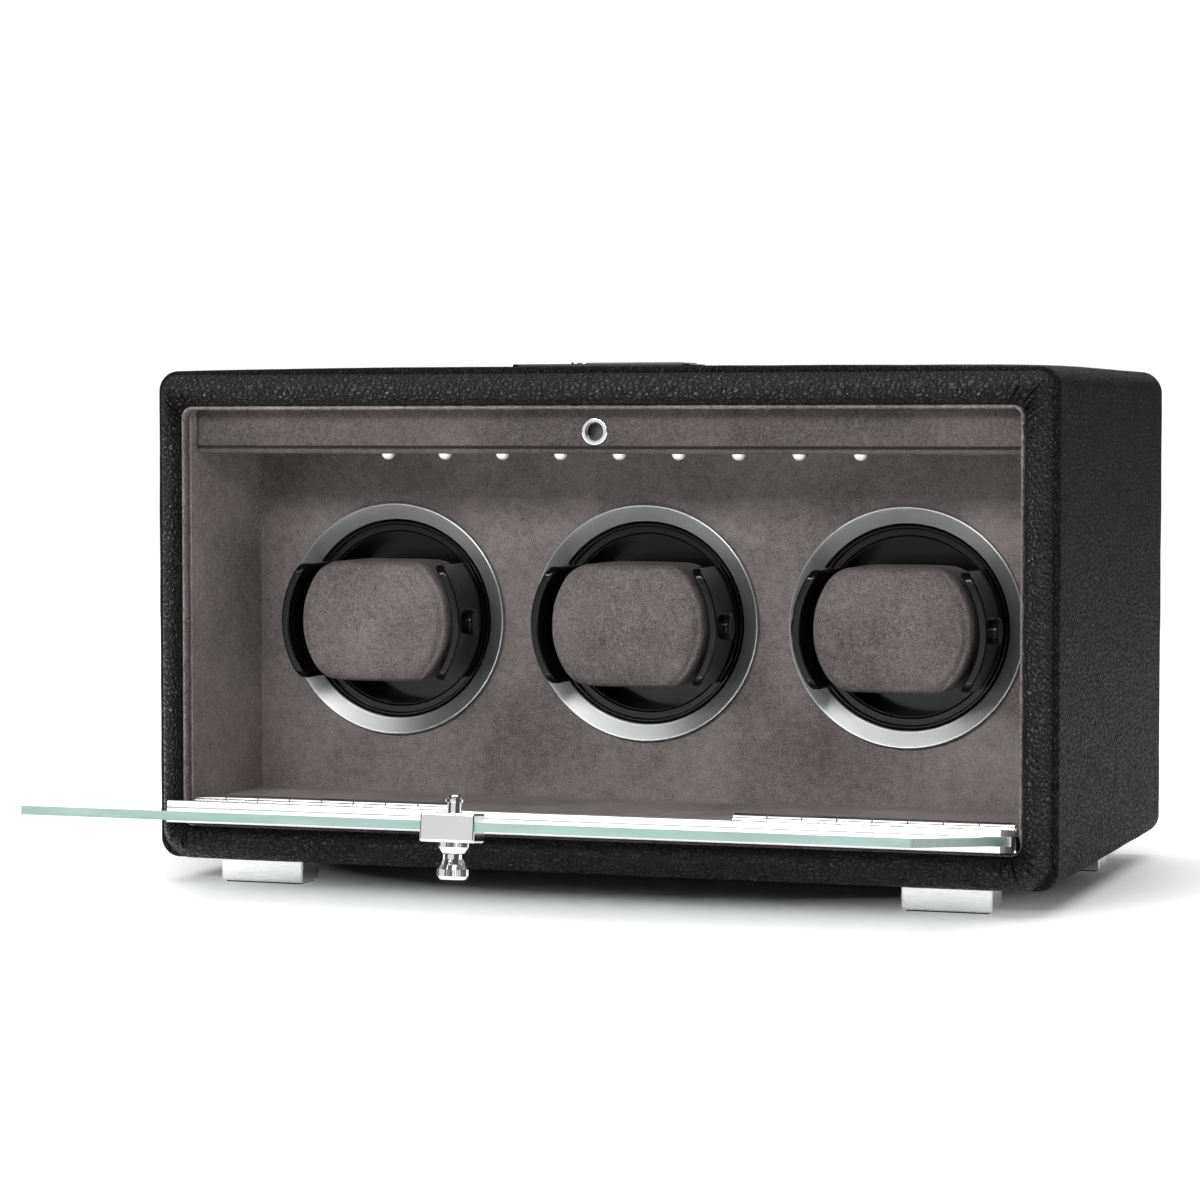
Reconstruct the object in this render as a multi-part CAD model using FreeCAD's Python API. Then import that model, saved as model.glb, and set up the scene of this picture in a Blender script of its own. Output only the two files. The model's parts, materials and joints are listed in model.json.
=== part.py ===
"""Watch winder box for three watches: leather case, fold-down glass door, three motor-driven rotors.

Millimetres. +X is right, +Y goes into the box, +Z is up, and z = 0 is under the feet.
Every piece is first made with y = 0 at the bezel's widest outline, and the door closed where that
is simpler. The door is then opened, and the whole object is moved along Y so that the origin is
under the middle of its outline.
"""
import FreeCAD, Part
import math
import os

V = FreeCAD.Vector
ALONG_X = V(1, 0, 0)
ALONG_Y = V(0, 1, 0)
ALONG_Z = V(0, 0, 1)

# ---- case -----------------------------------------------------------------------------------
LEATHER = 1.5
CASE_HALF_X = 170.5                    # the wooden carcass
CASE_Z = (10.5, 190.5)
CASE_Y = (3.0, 204.5)
CASE_INNER_HALF_X = 161.2
ROOF_Z = 181.0
FLOOR_Z = 27.8
REAR_WALL_Y = 196.0
CASE_EDGE_R = 6.0
CROWN_RISE = 1.5                       # how far the padded top swells at its middle
WRAP_HALF_X = CASE_HALF_X + LEATHER
WRAP_Z = (CASE_Z[0] - LEATHER, 192.2)
WRAP_Y = (4.2, CASE_Y[1] + LEATHER)
WRAP_EDGE_R = 7.5

# ---- front frame ----------------------------------------------------------------------------
BEZEL_HALF_X = 170.0
BEZEL_Z = (9.0, 190.9)
BEZEL_Y = (-6.0, 3.0)
BEZEL_TOP_R = 5.5
BEZEL_BOTTOM_R = 11.0
BEZEL_ROLL_R = 4.0
OPENING_HALF_X = 160.0
OPENING_Z = (21.7, 178.8)
OPENING_R = 4.0
TRIM = 0.8

# ---- compartment ----------------------------------------------------------------------------
CAVITY_HALF_X = 158.7
CAVITY_Z = (30.0, 161.4)
PANEL_Y = (67.8, 73.8)
HEADER_Y = (8.0, 13.0)
SILL_Y = 4.1
FLOOR_LINING_Y = 6.8
SOFFIT_T = 3.0
LED_COUNT = 9
LED_PITCH = 23.0
LED_Y = 36.0
LED_R = 2.5
LED_TIP_Z = 159.0

# ---- feet -----------------------------------------------------------------------------------
FOOT = (33.0, 16.0, 9.0)
FOOT_PAD = 0.6
FRONT_FOOT = (131.5, 14.0)
REAR_FOOT = (143.5, 149.0)

# ---- door, measured from the hinge axis: s away from it up the closed door, t into the box ---
HINGE_Y = 4.1
HINGE_Z = 30.5
DOOR_OPEN_DEG = 84.1
BARREL_R = 2.55
PIN_R = 1.0
PIN_PLAY = 0.05
LEAF_T = 1.0
HINGE_LENGTH = 103.0
HINGE_X = 105.5
KNUCKLES = 8
KNUCKLE_GAP = 0.5
GLASS_HALF_X = 155.5
GLASS_T = (-5.5, -2.5)
GLASS_S = (8.7, 145.2)
RAIL_HALF_X = 157.0
RAIL_T = (-8.0, 0.0)
RAIL_S = (3.0, 26.3)
SLOT_T = (-5.7, -2.3)
LATCH_S = 139.1
LATCH_Z = HINGE_Z + LATCH_S
CLAMP_HALF_X = 9.5
CLAMP_S = (135.7, 146.2)
CLAMP_T = (-9.3, 0.3)
LATCH_TRAVEL = 1.5

# ---- winder units, measured from the rotor's own axis ----------------------------------------
UNIT_PITCH = 101.6
UNIT_COUNT = 3
AXIS_Z = 97.1
RING_R = (38.5, 44.9)
RING_Y = 65.6                          # front of the outer edge; the ring slopes in from there
RING_SLOPE = 2.6
HOUSING_R = (38.6, 40.8)
HOUSING_FLANGE_R = 49.5
HOUSING_Y = (70.9, 104.0)
ROTOR_R = 38.0
BOWL_R = 33.4
BOWL_FLOOR_Y = 88.0
ARM_R = (33.5, 36.5)
ARM_HALF_Z = 22.0
ARM_FRONT_Y = 40.0
CUSHION_R = 32.5
CUSHION_HALF_X = 32.0
CUSHION_HALF_Z = 24.5
CUSHION_Y = (40.5, 80.0)
SHAFT_R = 3.0
SHAFT_END_Y = 121.0
BUSH_R = 5.0
BUSH_PLAY = 0.05
PLATE_Y = (116.0, 118.5)
PLATE_R = 40.0
POST_R = 3.0
POST_PITCH_R = 35.5
POST_ANGLES = (30, 150, 205, 335)

# ---- gears -----------------------------------------------------------------------------------
MODULE = 0.75
PRESSURE_DEG = 20.0
GEAR_TEETH = 64
PINION_TEETH = 16
TOOTH_PLAY = 0.07                      # taken off each tooth's thickness
GEAR_Y = (107.0, 112.0)
CENTRE_DISTANCE = MODULE * (GEAR_TEETH + PINION_TEETH) / 2
PINION_SHAFT_R = 1.5
MOTOR_R = 13.0
MOTOR_LENGTH = 34.0

# ---- controls and power ----------------------------------------------------------------------
CONTROL_HALF_X = 34.0
CONTROL_Y = (12.0, 36.0)
CONTROL_TOP_Z = 194.2
BUTTON_X = -12.5
BUTTON_R = 2.0
BUTTON_TOP_Z = 195.0
DISPLAY_X = (-6.0, 31.0)
REAR_WINDOW_HALF_X = 145.0
REAR_WINDOW_Z = (42.0, 165.0)
REAR_COVER_HALF_X = 151.0
REAR_COVER_Z = (34.0, 171.0)
JACK_X = 120.0
JACK_Z = 60.0


# ---- plain shapes ----------------------------------------------------------------------------
def block(x, y, z):
    """A box from three (low, high) pairs."""
    size = [high - low for low, high in (x, y, z)]
    return Part.makeBox(*size, V(x[0], y[0], z[0]))


def rod(axis, start, radius, length):
    """A cylinder that starts at a point and runs along an axis."""
    return Part.makeCylinder(radius, length, V(*start), axis)


def rod_y(x, z, radius, y):
    """A cylinder along Y between two depths."""
    return rod(ALONG_Y, (x, y[0], z), radius, y[1] - y[0])


def tube_y(x, z, radii, y):
    """A tube along Y between two depths."""
    return rod_y(x, z, radii[1], y).cut(rod_y(x, z, radii[0], y))


def rounded_prism(half_x, z, y, bottom_r, top_r):
    """A rounded rectangle in the XZ plane, symmetric about x = 0, drawn out along Y."""
    low, high = z
    corners = [
        (half_x, low, -90, bottom_r),
        (half_x, high, 0, top_r),
        (-half_x, high, 90, top_r),
        (-half_x, low, 180, bottom_r),
    ]
    edges = []
    ends = []
    for x, height, start, radius in corners:
        centre_x = x - math.copysign(radius, x)
        centre_z = height + (radius if height == low else -radius)

        def on_arc(degrees):
            turn = math.radians(degrees)
            return V(centre_x + radius * math.cos(turn), y[0], centre_z + radius * math.sin(turn))

        edges.append(Part.Arc(on_arc(start), on_arc(start + 45), on_arc(start + 90)).toShape())
        ends.append((on_arc(start), on_arc(start + 90)))
    for index in range(4):
        following = ends[(index + 1) % 4][0]
        edges.append(Part.LineSegment(ends[index][1], following).toShape())
    wire = Part.Wire(Part.__sortEdges__(edges))
    return Part.Face(wire).extrude(V(0, y[1] - y[0], 0))


def revolved(axis, start, profile):
    """A solid of revolution from (distance along the axis, radius) points, closed on the axis."""
    points = [(profile[0][0], 0.0)] + list(profile) + [(profile[-1][0], 0.0), (profile[0][0], 0.0)]
    kept = [points[0]]
    for point in points[1:]:
        if point != kept[-1]:
            kept.append(point)
    outline = Part.makePolygon([V(radius, 0, along) for along, radius in kept])
    solid = Part.Face(outline).revolve(V(0, 0, 0), ALONG_Z, 360)
    solid.Placement = FreeCAD.Placement(V(*start), FreeCAD.Rotation(ALONG_Z, axis))
    return solid


def screw(axis, start, head_r, head_h, shank_r, length):
    """A countersunk screw: its head's flat face is at the start, and it points along the axis."""
    body = revolved(axis, start, [(0, head_r), (head_h, shank_r), (length - shank_r, shank_r),
                                  (length, 0.2)])
    slot_size = head_r * 1.2
    slot = Part.makeBox(slot_size, head_r * 0.28, head_h * 0.5,
                        V(-slot_size / 2, -head_r * 0.14, 0))
    crossed = slot.copy()
    crossed.rotate(V(0, 0, 0), ALONG_Z, 90)
    recess = slot.fuse(crossed)
    recess.Placement = FreeCAD.Placement(V(*start), FreeCAD.Rotation(ALONG_Z, axis))
    return body.cut(recess)


def edges_at(shape, test):
    """The edges whose every corner passes a test."""
    return [edge for edge in shape.Edges if all(test(corner.Point) for corner in edge.Vertexes)]


def circles_at(shape, y, radius):
    """The full circles round the Y direction at one depth and radius."""
    return [edge for edge in shape.Edges if abs(edge.BoundBox.YMax - y) < 0.05
            and abs(edge.BoundBox.YMin - y) < 0.05
            and abs(edge.BoundBox.XLength - 2 * radius) < 0.1]


def knurled(axis, start, radius, length, ridges):
    """A short drum with pointed ridges round it."""
    points = []
    for index in range(2 * ridges):
        turn = math.pi * index / ridges
        reach = radius if index % 2 == 0 else radius * 0.945
        points.append(V(reach * math.cos(turn), reach * math.sin(turn), 0))
    drum = Part.Face(Part.makePolygon(points + points[:1])).extrude(V(0, 0, length))
    drum.Placement = FreeCAD.Placement(V(*start), FreeCAD.Rotation(ALONG_Z, axis))
    return drum


def opened(shape):
    """A door piece turned from closed to its open rest."""
    turned = shape.copy()
    turned.rotate(V(0, HINGE_Y, HINGE_Z), ALONG_X, DOOR_OPEN_DEG)
    return turned


# ---- case ------------------------------------------------------------------------------------
def case_outer(y):
    return rounded_prism(CASE_HALF_X, CASE_Z, y, CASE_EDGE_R, CASE_EDGE_R)


def case_shell():
    """The wooden carcass: floor, roof, sides and a rear wall with a service window."""
    body = case_outer(CASE_Y)
    inner = (-CASE_INNER_HALF_X, CASE_INNER_HALF_X)
    body = body.cut(block(inner, (CASE_Y[0], REAR_WALL_Y), (FLOOR_Z, ROOF_Z)))
    body = body.cut(block(inner, (CASE_Y[0], SILL_Y), (OPENING_Z[0], ROOF_Z)))
    window = (-REAR_WINDOW_HALF_X, REAR_WINDOW_HALF_X)
    body = body.cut(block(window, (REAR_WALL_Y, CASE_Y[1]), REAR_WINDOW_Z))
    rebate = (-REAR_COVER_HALF_X - 0.5, REAR_COVER_HALF_X + 0.5)
    rebate_z = (REAR_COVER_Z[0] - 0.5, REAR_COVER_Z[1] + 0.5)
    body = body.cut(block(rebate, (CASE_Y[1] - 2.5, CASE_Y[1]), rebate_z))
    body = body.cut(control_stem_space())
    for start in case_screw_starts():
        body = body.cut(rod(ALONG_Y, start, 0.8, 10))
    for x, y, _ in foot_places():
        body = body.cut(rod(ALONG_Z, (x, y, CASE_Z[0]), 1.6, 9))
    for x, z in rear_screw_places():
        body = body.cut(rod_y(x, z, 1.2, (REAR_WALL_Y + 1, CASE_Y[1])))
    return body


def crowned(half_x, edge_z, rise, y, low_z, corner_r):
    """A block with a rounded bottom and a gently arched top."""
    shoulder = edge_z - corner_r
    slant = corner_r * (1 - math.sqrt(0.5))
    points = [
        V(-half_x, y[0], low_z + corner_r),
        V(-half_x, y[0], shoulder),
        V(-half_x + slant, y[0], edge_z - slant),
        V(-half_x + corner_r, y[0], edge_z),
        V(0, y[0], edge_z + rise),
        V(half_x - corner_r, y[0], edge_z),
        V(half_x - slant, y[0], edge_z - slant),
        V(half_x, y[0], shoulder),
        V(half_x, y[0], low_z + corner_r),
        V(half_x - slant, y[0], low_z + slant),
        V(half_x - corner_r, y[0], low_z),
        V(-half_x + corner_r, y[0], low_z),
        V(-half_x + slant, y[0], low_z + slant),
    ]
    edges = [
        Part.LineSegment(points[0], points[1]).toShape(),
        Part.Arc(points[1], points[2], points[3]).toShape(),
        Part.Arc(points[3], points[4], points[5]).toShape(),
        Part.Arc(points[5], points[6], points[7]).toShape(),
        Part.LineSegment(points[7], points[8]).toShape(),
        Part.Arc(points[8], points[9], points[10]).toShape(),
        Part.LineSegment(points[10], points[11]).toShape(),
        Part.Arc(points[11], points[12], points[0]).toShape(),
    ]
    return Part.Face(Part.Wire(edges)).extrude(V(0, y[1] - y[0], 0))


def foam_form():
    """The padded top's foam, before the case below it is taken away."""
    return crowned(CASE_HALF_X - 4, CASE_Z[1] + 0.8, CROWN_RISE - 0.3, (WRAP_Y[0], CASE_Y[1]),
                   150, 4.0)


def top_foam():
    """The thin pad under the leather on the roof."""
    below = block((-CASE_HALF_X, CASE_HALF_X), (WRAP_Y[0], CASE_Y[1]), (140, CASE_Z[1]))
    return foam_form().cut(below).cut(control_space())


def leather_wrap():
    """The leather skin round the four sides and the rim of the back."""
    skin = crowned(WRAP_HALF_X, WRAP_Z[1], CROWN_RISE, WRAP_Y, WRAP_Z[0], WRAP_EDGE_R)
    rear = edges_at(skin, lambda point: abs(point.y - WRAP_Y[1]) < 0.01)
    skin = skin.makeFillet(1.3, rear)
    skin = skin.cut(case_outer((WRAP_Y[0], CASE_Y[1])))
    skin = skin.cut(foam_form())
    window = (-REAR_COVER_HALF_X - 0.5, REAR_COVER_HALF_X + 0.5)
    window_z = (REAR_COVER_Z[0] - 0.5, REAR_COVER_Z[1] + 0.5)
    skin = skin.cut(block(window, (CASE_Y[1], WRAP_Y[1]), window_z))
    for x, y, _ in foot_places():
        skin = skin.cut(rod(ALONG_Z, (x, y, WRAP_Z[0]), 1.6, LEATHER))
    return skin.cut(control_space())


def front_bezel():
    """The padded leather frame round the opening."""
    roll = rounded_prism(BEZEL_HALF_X, BEZEL_Z, BEZEL_Y, BEZEL_BOTTOM_R, BEZEL_TOP_R)
    hole = rounded_prism(OPENING_HALF_X, OPENING_Z, BEZEL_Y, OPENING_R, OPENING_R)
    roll = roll.cut(hole)
    front = edges_at(roll, lambda point: abs(point.y - BEZEL_Y[0]) < 0.01)
    roll = roll.makeFillet(BEZEL_ROLL_R - 0.2, front)
    back = edges_at(roll, lambda point: abs(point.y - BEZEL_Y[1]) < 0.01
                    and (abs(point.x) > OPENING_HALF_X + 1 or not 20 < point.z < 180))
    return roll.makeFillet(2.0, back)


def suede_trim():
    """The thin suede edge along the sides and top of the opening."""
    y = (-1.0, BEZEL_Y[1])
    outer = rounded_prism(OPENING_HALF_X, OPENING_Z, y, OPENING_R, OPENING_R)
    inner_z = (OPENING_Z[0] + TRIM, OPENING_Z[1] - TRIM)
    inner = rounded_prism(OPENING_HALF_X - TRIM, inner_z, y, OPENING_R - TRIM, OPENING_R - TRIM)
    strip = outer.cut(inner)
    return strip.cut(block((-200, 200), y, (0, OPENING_Z[0] + 12)))


def side_linings():
    """Suede-covered boards on the two side walls."""
    y = (CASE_Y[0], PANEL_Y[0])
    z = (FLOOR_Z, ROOF_Z)
    right = block((CAVITY_HALF_X, CASE_INNER_HALF_X), (SILL_Y, y[1]), z)
    left = block((-CASE_INNER_HALF_X, -CAVITY_HALF_X), (SILL_Y, y[1]), z)
    return [left, right]


def floor_lining():
    """The suede-covered board on the floor, rounded at its front edge."""
    board = block((-CAVITY_HALF_X, CAVITY_HALF_X), (FLOOR_LINING_Y, PANEL_Y[0]),
                  (FLOOR_Z, CAVITY_Z[0]))
    front = edges_at(board, lambda p: p.y < FLOOR_LINING_Y + 0.01 and p.z > CAVITY_Z[0] - 0.01)
    return board.makeFillet(1.2, front)


def header_board():
    """The board above the opening that carries the lock socket."""
    board = block((-CAVITY_HALF_X, CAVITY_HALF_X), HEADER_Y, (CAVITY_Z[1], ROOF_Z))
    seam_z = CAVITY_Z[1] + 1.8
    seam = block((-CAVITY_HALF_X, CAVITY_HALF_X), (HEADER_Y[0], HEADER_Y[0] + 0.4),
                 (seam_z, seam_z + 0.4))
    board = board.cut(seam)
    return board.cut(rod_y(0, LATCH_Z, 4.3, HEADER_Y))


def soffit_board():
    """The ceiling of the compartment, drilled for the lamps."""
    board = block((-CAVITY_HALF_X, CAVITY_HALF_X), (HEADER_Y[1], PANEL_Y[0]),
                  (CAVITY_Z[1], CAVITY_Z[1] + SOFFIT_T))
    for x in led_places():
        board = board.cut(rod(ALONG_Z, (x, LED_Y, CAVITY_Z[1]), LED_R + 0.2, SOFFIT_T))
    return board


def mounting_panel():
    """The suede-covered panel that holds the three winder units."""
    panel = block((-CASE_INNER_HALF_X, CASE_INNER_HALF_X), PANEL_Y, (FLOOR_Z, ROOF_Z))
    for x in unit_places():
        panel = panel.cut(rod_y(x, AXIS_Z, HOUSING_R[1] + 0.2, PANEL_Y))
        for dx, dz in flange_screw_places():
            panel = panel.cut(rod_y(x + dx, AXIS_Z + dz, 0.9, (PANEL_Y[0] + 1, PANEL_Y[1])))
    return panel


# ---- rear cover and feet ---------------------------------------------------------------------
def rear_screw_places():
    """Ten screws: four along each long edge, one halfway up each end."""
    reach_x = REAR_COVER_HALF_X - 3
    low = REAR_COVER_Z[0] + 4
    high = REAR_COVER_Z[1] - 3
    columns = [reach_x * step / 3 for step in (-3, -1, 1, 3)]
    places = [(x, z) for x in columns for z in (low, high)]
    middle = (low + high) / 2
    return places + [(-reach_x, middle), (reach_x, middle)]


def rear_cover():
    """The screwed board that closes the service window and holds the power inlet."""
    y = (CASE_Y[1] - 2.5, WRAP_Y[1])
    board = block((-REAR_COVER_HALF_X, REAR_COVER_HALF_X), y, REAR_COVER_Z)
    board = board.cut(rod_y(JACK_X, JACK_Z, 4.05, y))
    for x, z in rear_screw_places():
        sink = Part.makeCone(1.3, 2.9, 1.8, V(x, y[1] - 1.8, z), ALONG_Y)
        board = board.cut(rod_y(x, z, 1.3, y)).cut(sink)
    return board


def rear_cover_screws():
    """Countersunk screws, flush with the cover."""
    return [screw(V(0, -1, 0), (x, WRAP_Y[1], z), 2.7, 1.6, 1.1, 8) for x, z in rear_screw_places()]


def foot_places():
    """(x, y, side) for the four feet."""
    return [(side * x, y, side) for x, y in (FRONT_FOOT, REAR_FOOT) for side in (-1, 1)]


def foot_block(x, y):
    """One polished metal foot, hollowed for its screw head."""
    half_x = FOOT[0] / 2
    half_y = FOOT[1] / 2
    metal = block((x - half_x, x + half_x), (y - half_y, y + half_y), (FOOT_PAD, FOOT[2]))
    metal = metal.makeChamfer(0.5, metal.Edges)
    metal = metal.cut(rod(ALONG_Z, (x, y, FOOT_PAD), 3.6, 3.0))
    return metal.cut(rod(ALONG_Z, (x, y, FOOT_PAD), 1.8, FOOT[2]))


def feet():
    return [foot_block(x, y) for x, y, _ in foot_places()]


def foot_pads():
    """Thin felt pads under the feet."""
    pads = []
    for x, y, _ in foot_places():
        half_x = FOOT[0] / 2 - 1.5
        half_y = FOOT[1] / 2 - 1.5
        pads.append(block((x - half_x, x + half_x), (y - half_y, y + half_y), (0, FOOT_PAD)))
    return pads


def foot_screws():
    """Wood screws that hold the feet from below."""
    return [screw(ALONG_Z, (x, y, FOOT_PAD + 0.6), 3.2, 2.2, 1.5, 16) for x, y, _ in foot_places()]


# ---- lock socket and lamps -------------------------------------------------------------------
def lock_socket():
    """The chromed socket in the header that takes the door's stud."""
    flange = tube_y(0, LATCH_Z, (3.5, 5.0), (HEADER_Y[0] - 0.8, HEADER_Y[0]))
    flange = flange.makeFillet(0.5, circles_at(flange, HEADER_Y[0] - 0.8, 5.0))
    sleeve = tube_y(0, LATCH_Z, (3.5, 4.2), HEADER_Y)
    end = rod_y(0, LATCH_Z, 4.2, (HEADER_Y[1], HEADER_Y[1] + 0.8))
    socket = flange.fuse(sleeve).fuse(end)
    groove = tube_y(0, LATCH_Z, (3.4, 3.95), (8.9, 9.7))
    return socket.cut(groove).removeSplitter()


def lock_spring():
    """The split wire ring that grips the stud, lying in the socket's groove."""
    ring = Part.makeTorus(3.6, 0.28, V(0, 9.3, LATCH_Z), ALONG_Y)
    gap = block((-0.8, 0.8), (8, 11), (LATCH_Z - 6, LATCH_Z))
    return ring.cut(gap)


def led_places():
    middle = (LED_COUNT - 1) / 2
    return [(index - middle) * LED_PITCH for index in range(LED_COUNT)]


def led_board():
    """The long circuit strip above the ceiling."""
    half_x = LED_PITCH * LED_COUNT / 2
    low = CAVITY_Z[1] + SOFFIT_T + 1.0
    board = block((-half_x, half_x), (LED_Y - 6, LED_Y + 6), (low, low + 1.6))
    spacers = [rod(ALONG_Z, (x, LED_Y + 4, low - 1), 1.5, 1.0) for x in (-half_x + 4, half_x - 4)]
    return board.multiFuse(spacers)


def leds():
    """Round-nosed lamps that point down through the ceiling."""
    lamps = []
    for x in led_places():
        nose_z = LED_TIP_Z + LED_R
        barrel = rod(ALONG_Z, (x, LED_Y, nose_z), LED_R, CAVITY_Z[1] + SOFFIT_T + 1.0 - nose_z)
        nose = Part.makeSphere(LED_R, V(x, LED_Y, nose_z))
        lamps.append(barrel.fuse(nose).removeSplitter())
    return lamps


# ---- controls and power ----------------------------------------------------------------------
def control_space():
    """Where the control panel stands in the leather and foam."""
    return block((-CONTROL_HALF_X, CONTROL_HALF_X), CONTROL_Y, (CASE_Z[1], 200))


def control_stem_space():
    """The slot in the roof for the control panel's underside."""
    return block((3 - CONTROL_HALF_X, CONTROL_HALF_X - 3), (CONTROL_Y[0] + 2.5, CONTROL_Y[1] - 2.5),
                 (ROOF_Z, CASE_Z[1]))


def display_outline(z):
    """The display's rectangle between two heights."""
    return block(DISPLAY_X, (CONTROL_Y[0] + 3, CONTROL_Y[1] - 3), z)


def control_panel():
    """The glossy top panel with a skirt that reaches down through the roof."""
    plate = block((-CONTROL_HALF_X, CONTROL_HALF_X), CONTROL_Y, (CASE_Z[1], CONTROL_TOP_Z))
    height = CONTROL_TOP_Z - CASE_Z[1]
    upright = [edge for edge in plate.Edges if abs(edge.Length - height) < 0.01]
    plate = plate.makeFillet(3.0, upright)
    rim = edges_at(plate, lambda p: p.z > CONTROL_TOP_Z - 0.01)
    plate = plate.makeFillet(0.6, rim)
    skirt = block((4 - CONTROL_HALF_X, CONTROL_HALF_X - 4), (CONTROL_Y[0] + 3, CONTROL_Y[1] - 3),
                  (ROOF_Z + 2, CASE_Z[1]))
    hollow = block((6 - CONTROL_HALF_X, CONTROL_HALF_X - 6), (CONTROL_Y[0] + 5, CONTROL_Y[1] - 5),
                   (ROOF_Z + 2, CONTROL_TOP_Z - 2.5))
    panel = plate.fuse(skirt).cut(hollow)
    panel = panel.cut(display_outline((CONTROL_TOP_Z - 1.0, CONTROL_TOP_Z)))
    middle_y = sum(CONTROL_Y) / 2
    button_hole = rod(ALONG_Z, (BUTTON_X, middle_y, CONTROL_TOP_Z - 3), BUTTON_R + 0.2, 4)
    return panel.cut(button_hole).removeSplitter()


def display_window():
    """The dark display lens, slightly domed."""
    lens = display_outline((CONTROL_TOP_Z - 1.0, CONTROL_TOP_Z + 0.5))
    rim = edges_at(lens, lambda p: p.z > CONTROL_TOP_Z + 0.4)
    return lens.makeFillet(0.45, rim)


def mode_button():
    """The round push button with a collar that keeps it in its hole."""
    middle_y = sum(CONTROL_Y) / 2
    stem_z = CONTROL_TOP_Z - 4.5
    stem = rod(ALONG_Z, (BUTTON_X, middle_y, stem_z), BUTTON_R, BUTTON_TOP_Z - stem_z)
    rim = edges_at(stem, lambda p: p.z > BUTTON_TOP_Z - 0.01)
    stem = stem.makeFillet(0.4, rim)
    collar = rod(ALONG_Z, (BUTTON_X, middle_y, stem_z), BUTTON_R + 1, 1.5)
    return stem.fuse(collar).removeSplitter()


def control_board():
    """The circuit board under the control panel, with its press switch and driver chip."""
    low = ROOF_Z + 4.0
    board = block((6.5 - CONTROL_HALF_X, CONTROL_HALF_X - 6.5),
                  (CONTROL_Y[0] + 5.5, CONTROL_Y[1] - 5.5), (low, low + 1.6))
    middle_y = sum(CONTROL_Y) / 2
    top = low + 1.6
    switch = block((BUTTON_X - 3, BUTTON_X + 3), (middle_y - 3, middle_y + 3), (top, top + 2.2))
    chip = block((8, 18), (middle_y - 4, middle_y + 4), (top, top + 1.5))
    return board.multiFuse([switch, chip])


def dc_jack():
    """The power inlet: a flanged barrel with a centre pin."""
    y = WRAP_Y[1]
    barrel = rod_y(JACK_X, JACK_Z, 4.0, (y - 14, y))
    flange = rod_y(JACK_X, JACK_Z, 5.5, (y, y + 1.2))
    nut = rod_y(JACK_X, JACK_Z, 5.5, (y - 6.2, y - 4.0))
    body = barrel.multiFuse([flange, nut])
    body = body.cut(rod_y(JACK_X, JACK_Z, 2.75, (y - 9, y + 1.2)))
    pin = rod_y(JACK_X, JACK_Z, 1.0, (y - 9, y - 0.5))
    return body.fuse(pin).removeSplitter()


# ---- door (made closed) ----------------------------------------------------------------------
def door_block(x, s, t):
    """A block in the closed door's own terms."""
    return block(x, (HINGE_Y + t[0], HINGE_Y + t[1]), (HINGE_Z + s[0], HINGE_Z + s[1]))


def door_glass():
    """The clear pane, with polished edges and a hole for the latch."""
    pane = door_block((-GLASS_HALF_X, GLASS_HALF_X), GLASS_S, GLASS_T)
    across = [edge for edge in pane.Edges if abs(edge.Length - (GLASS_T[1] - GLASS_T[0])) < 0.01]
    pane = pane.makeFillet(1.5, across)
    y = (HINGE_Y + GLASS_T[0], HINGE_Y + GLASS_T[1])
    return opened(pane.cut(rod_y(0, LATCH_Z, 3.6, y)))


def door_rail():
    """The aluminium channel that grips the pane's lower edge and carries the hinges."""
    rail = door_block((-RAIL_HALF_X, RAIL_HALF_X), RAIL_S, RAIL_T)
    long_edges = [edge for edge in rail.Edges if edge.Length > RAIL_HALF_X]
    rail = rail.makeFillet(0.5, long_edges)
    rail = rail.cut(door_block((-RAIL_HALF_X, RAIL_HALF_X), (GLASS_S[0] - 0.3, RAIL_S[1]), SLOT_T))
    for x in hinge_places():
        half = HINGE_LENGTH / 2 + 0.2
        rail = rail.cut(door_block((x - half, x + half), (RAIL_S[0], 8.1), (-LEAF_T, 0)))
    for start in door_screw_starts():
        rail = rail.cut(rod(V(0, -1, 0), start, 0.7, 6))
    return opened(rail)


def rail_gasket():
    """The two clear strips between the pane and the channel."""
    x = (-GLASS_HALF_X, GLASS_HALF_X)
    s = (GLASS_S[0], RAIL_S[1] - 0.8)
    return [opened(door_block(x, s, (SLOT_T[0], GLASS_T[0]))),
            opened(door_block(x, s, (GLASS_T[1], SLOT_T[1])))]


# ---- hinges ----------------------------------------------------------------------------------
def hinge_places():
    return (-HINGE_X, HINGE_X)


def knuckle_spans(x, first):
    """Every second knuckle of a hinge, from the first or the second one."""
    pitch = HINGE_LENGTH / KNUCKLES
    left = x - HINGE_LENGTH / 2
    return [(left + index * pitch + KNUCKLE_GAP / 2, left + (index + 1) * pitch - KNUCKLE_GAP / 2)
            for index in range(first, KNUCKLES, 2)]


def case_screw_starts():
    """Where the screws of the fixed leaves start."""
    spread = (-42, -14, 14, 42)
    return [(x + dx, HINGE_Y - LEAF_T, HINGE_Z - 5.4) for x in hinge_places() for dx in spread]


def door_screw_starts():
    """Where the screws of the door's leaves start, on the closed door."""
    spread = (-42, -14, 14, 42)
    return [(x + dx, HINGE_Y, HINGE_Z + 5.5) for x in hinge_places() for dx in spread]


def hinge_leaf(x, first, own, bore_r, low, high, y):
    """A leaf with its knuckles: own and bare are its edge heights at its own and other knuckles."""
    half = HINGE_LENGTH / 2
    plate = block((x - half, x + half), y, (low, high))
    for span in knuckle_spans(x, first):
        plate = plate.fuse(block(span, y, own))
        plate = plate.fuse(rod(ALONG_X, (span[0], HINGE_Y, HINGE_Z), BARREL_R, span[1] - span[0]))
    bore = rod(ALONG_X, (x - half - 1, HINGE_Y, HINGE_Z), bore_r, HINGE_LENGTH + 2)
    return plate.cut(bore).removeSplitter()


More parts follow.
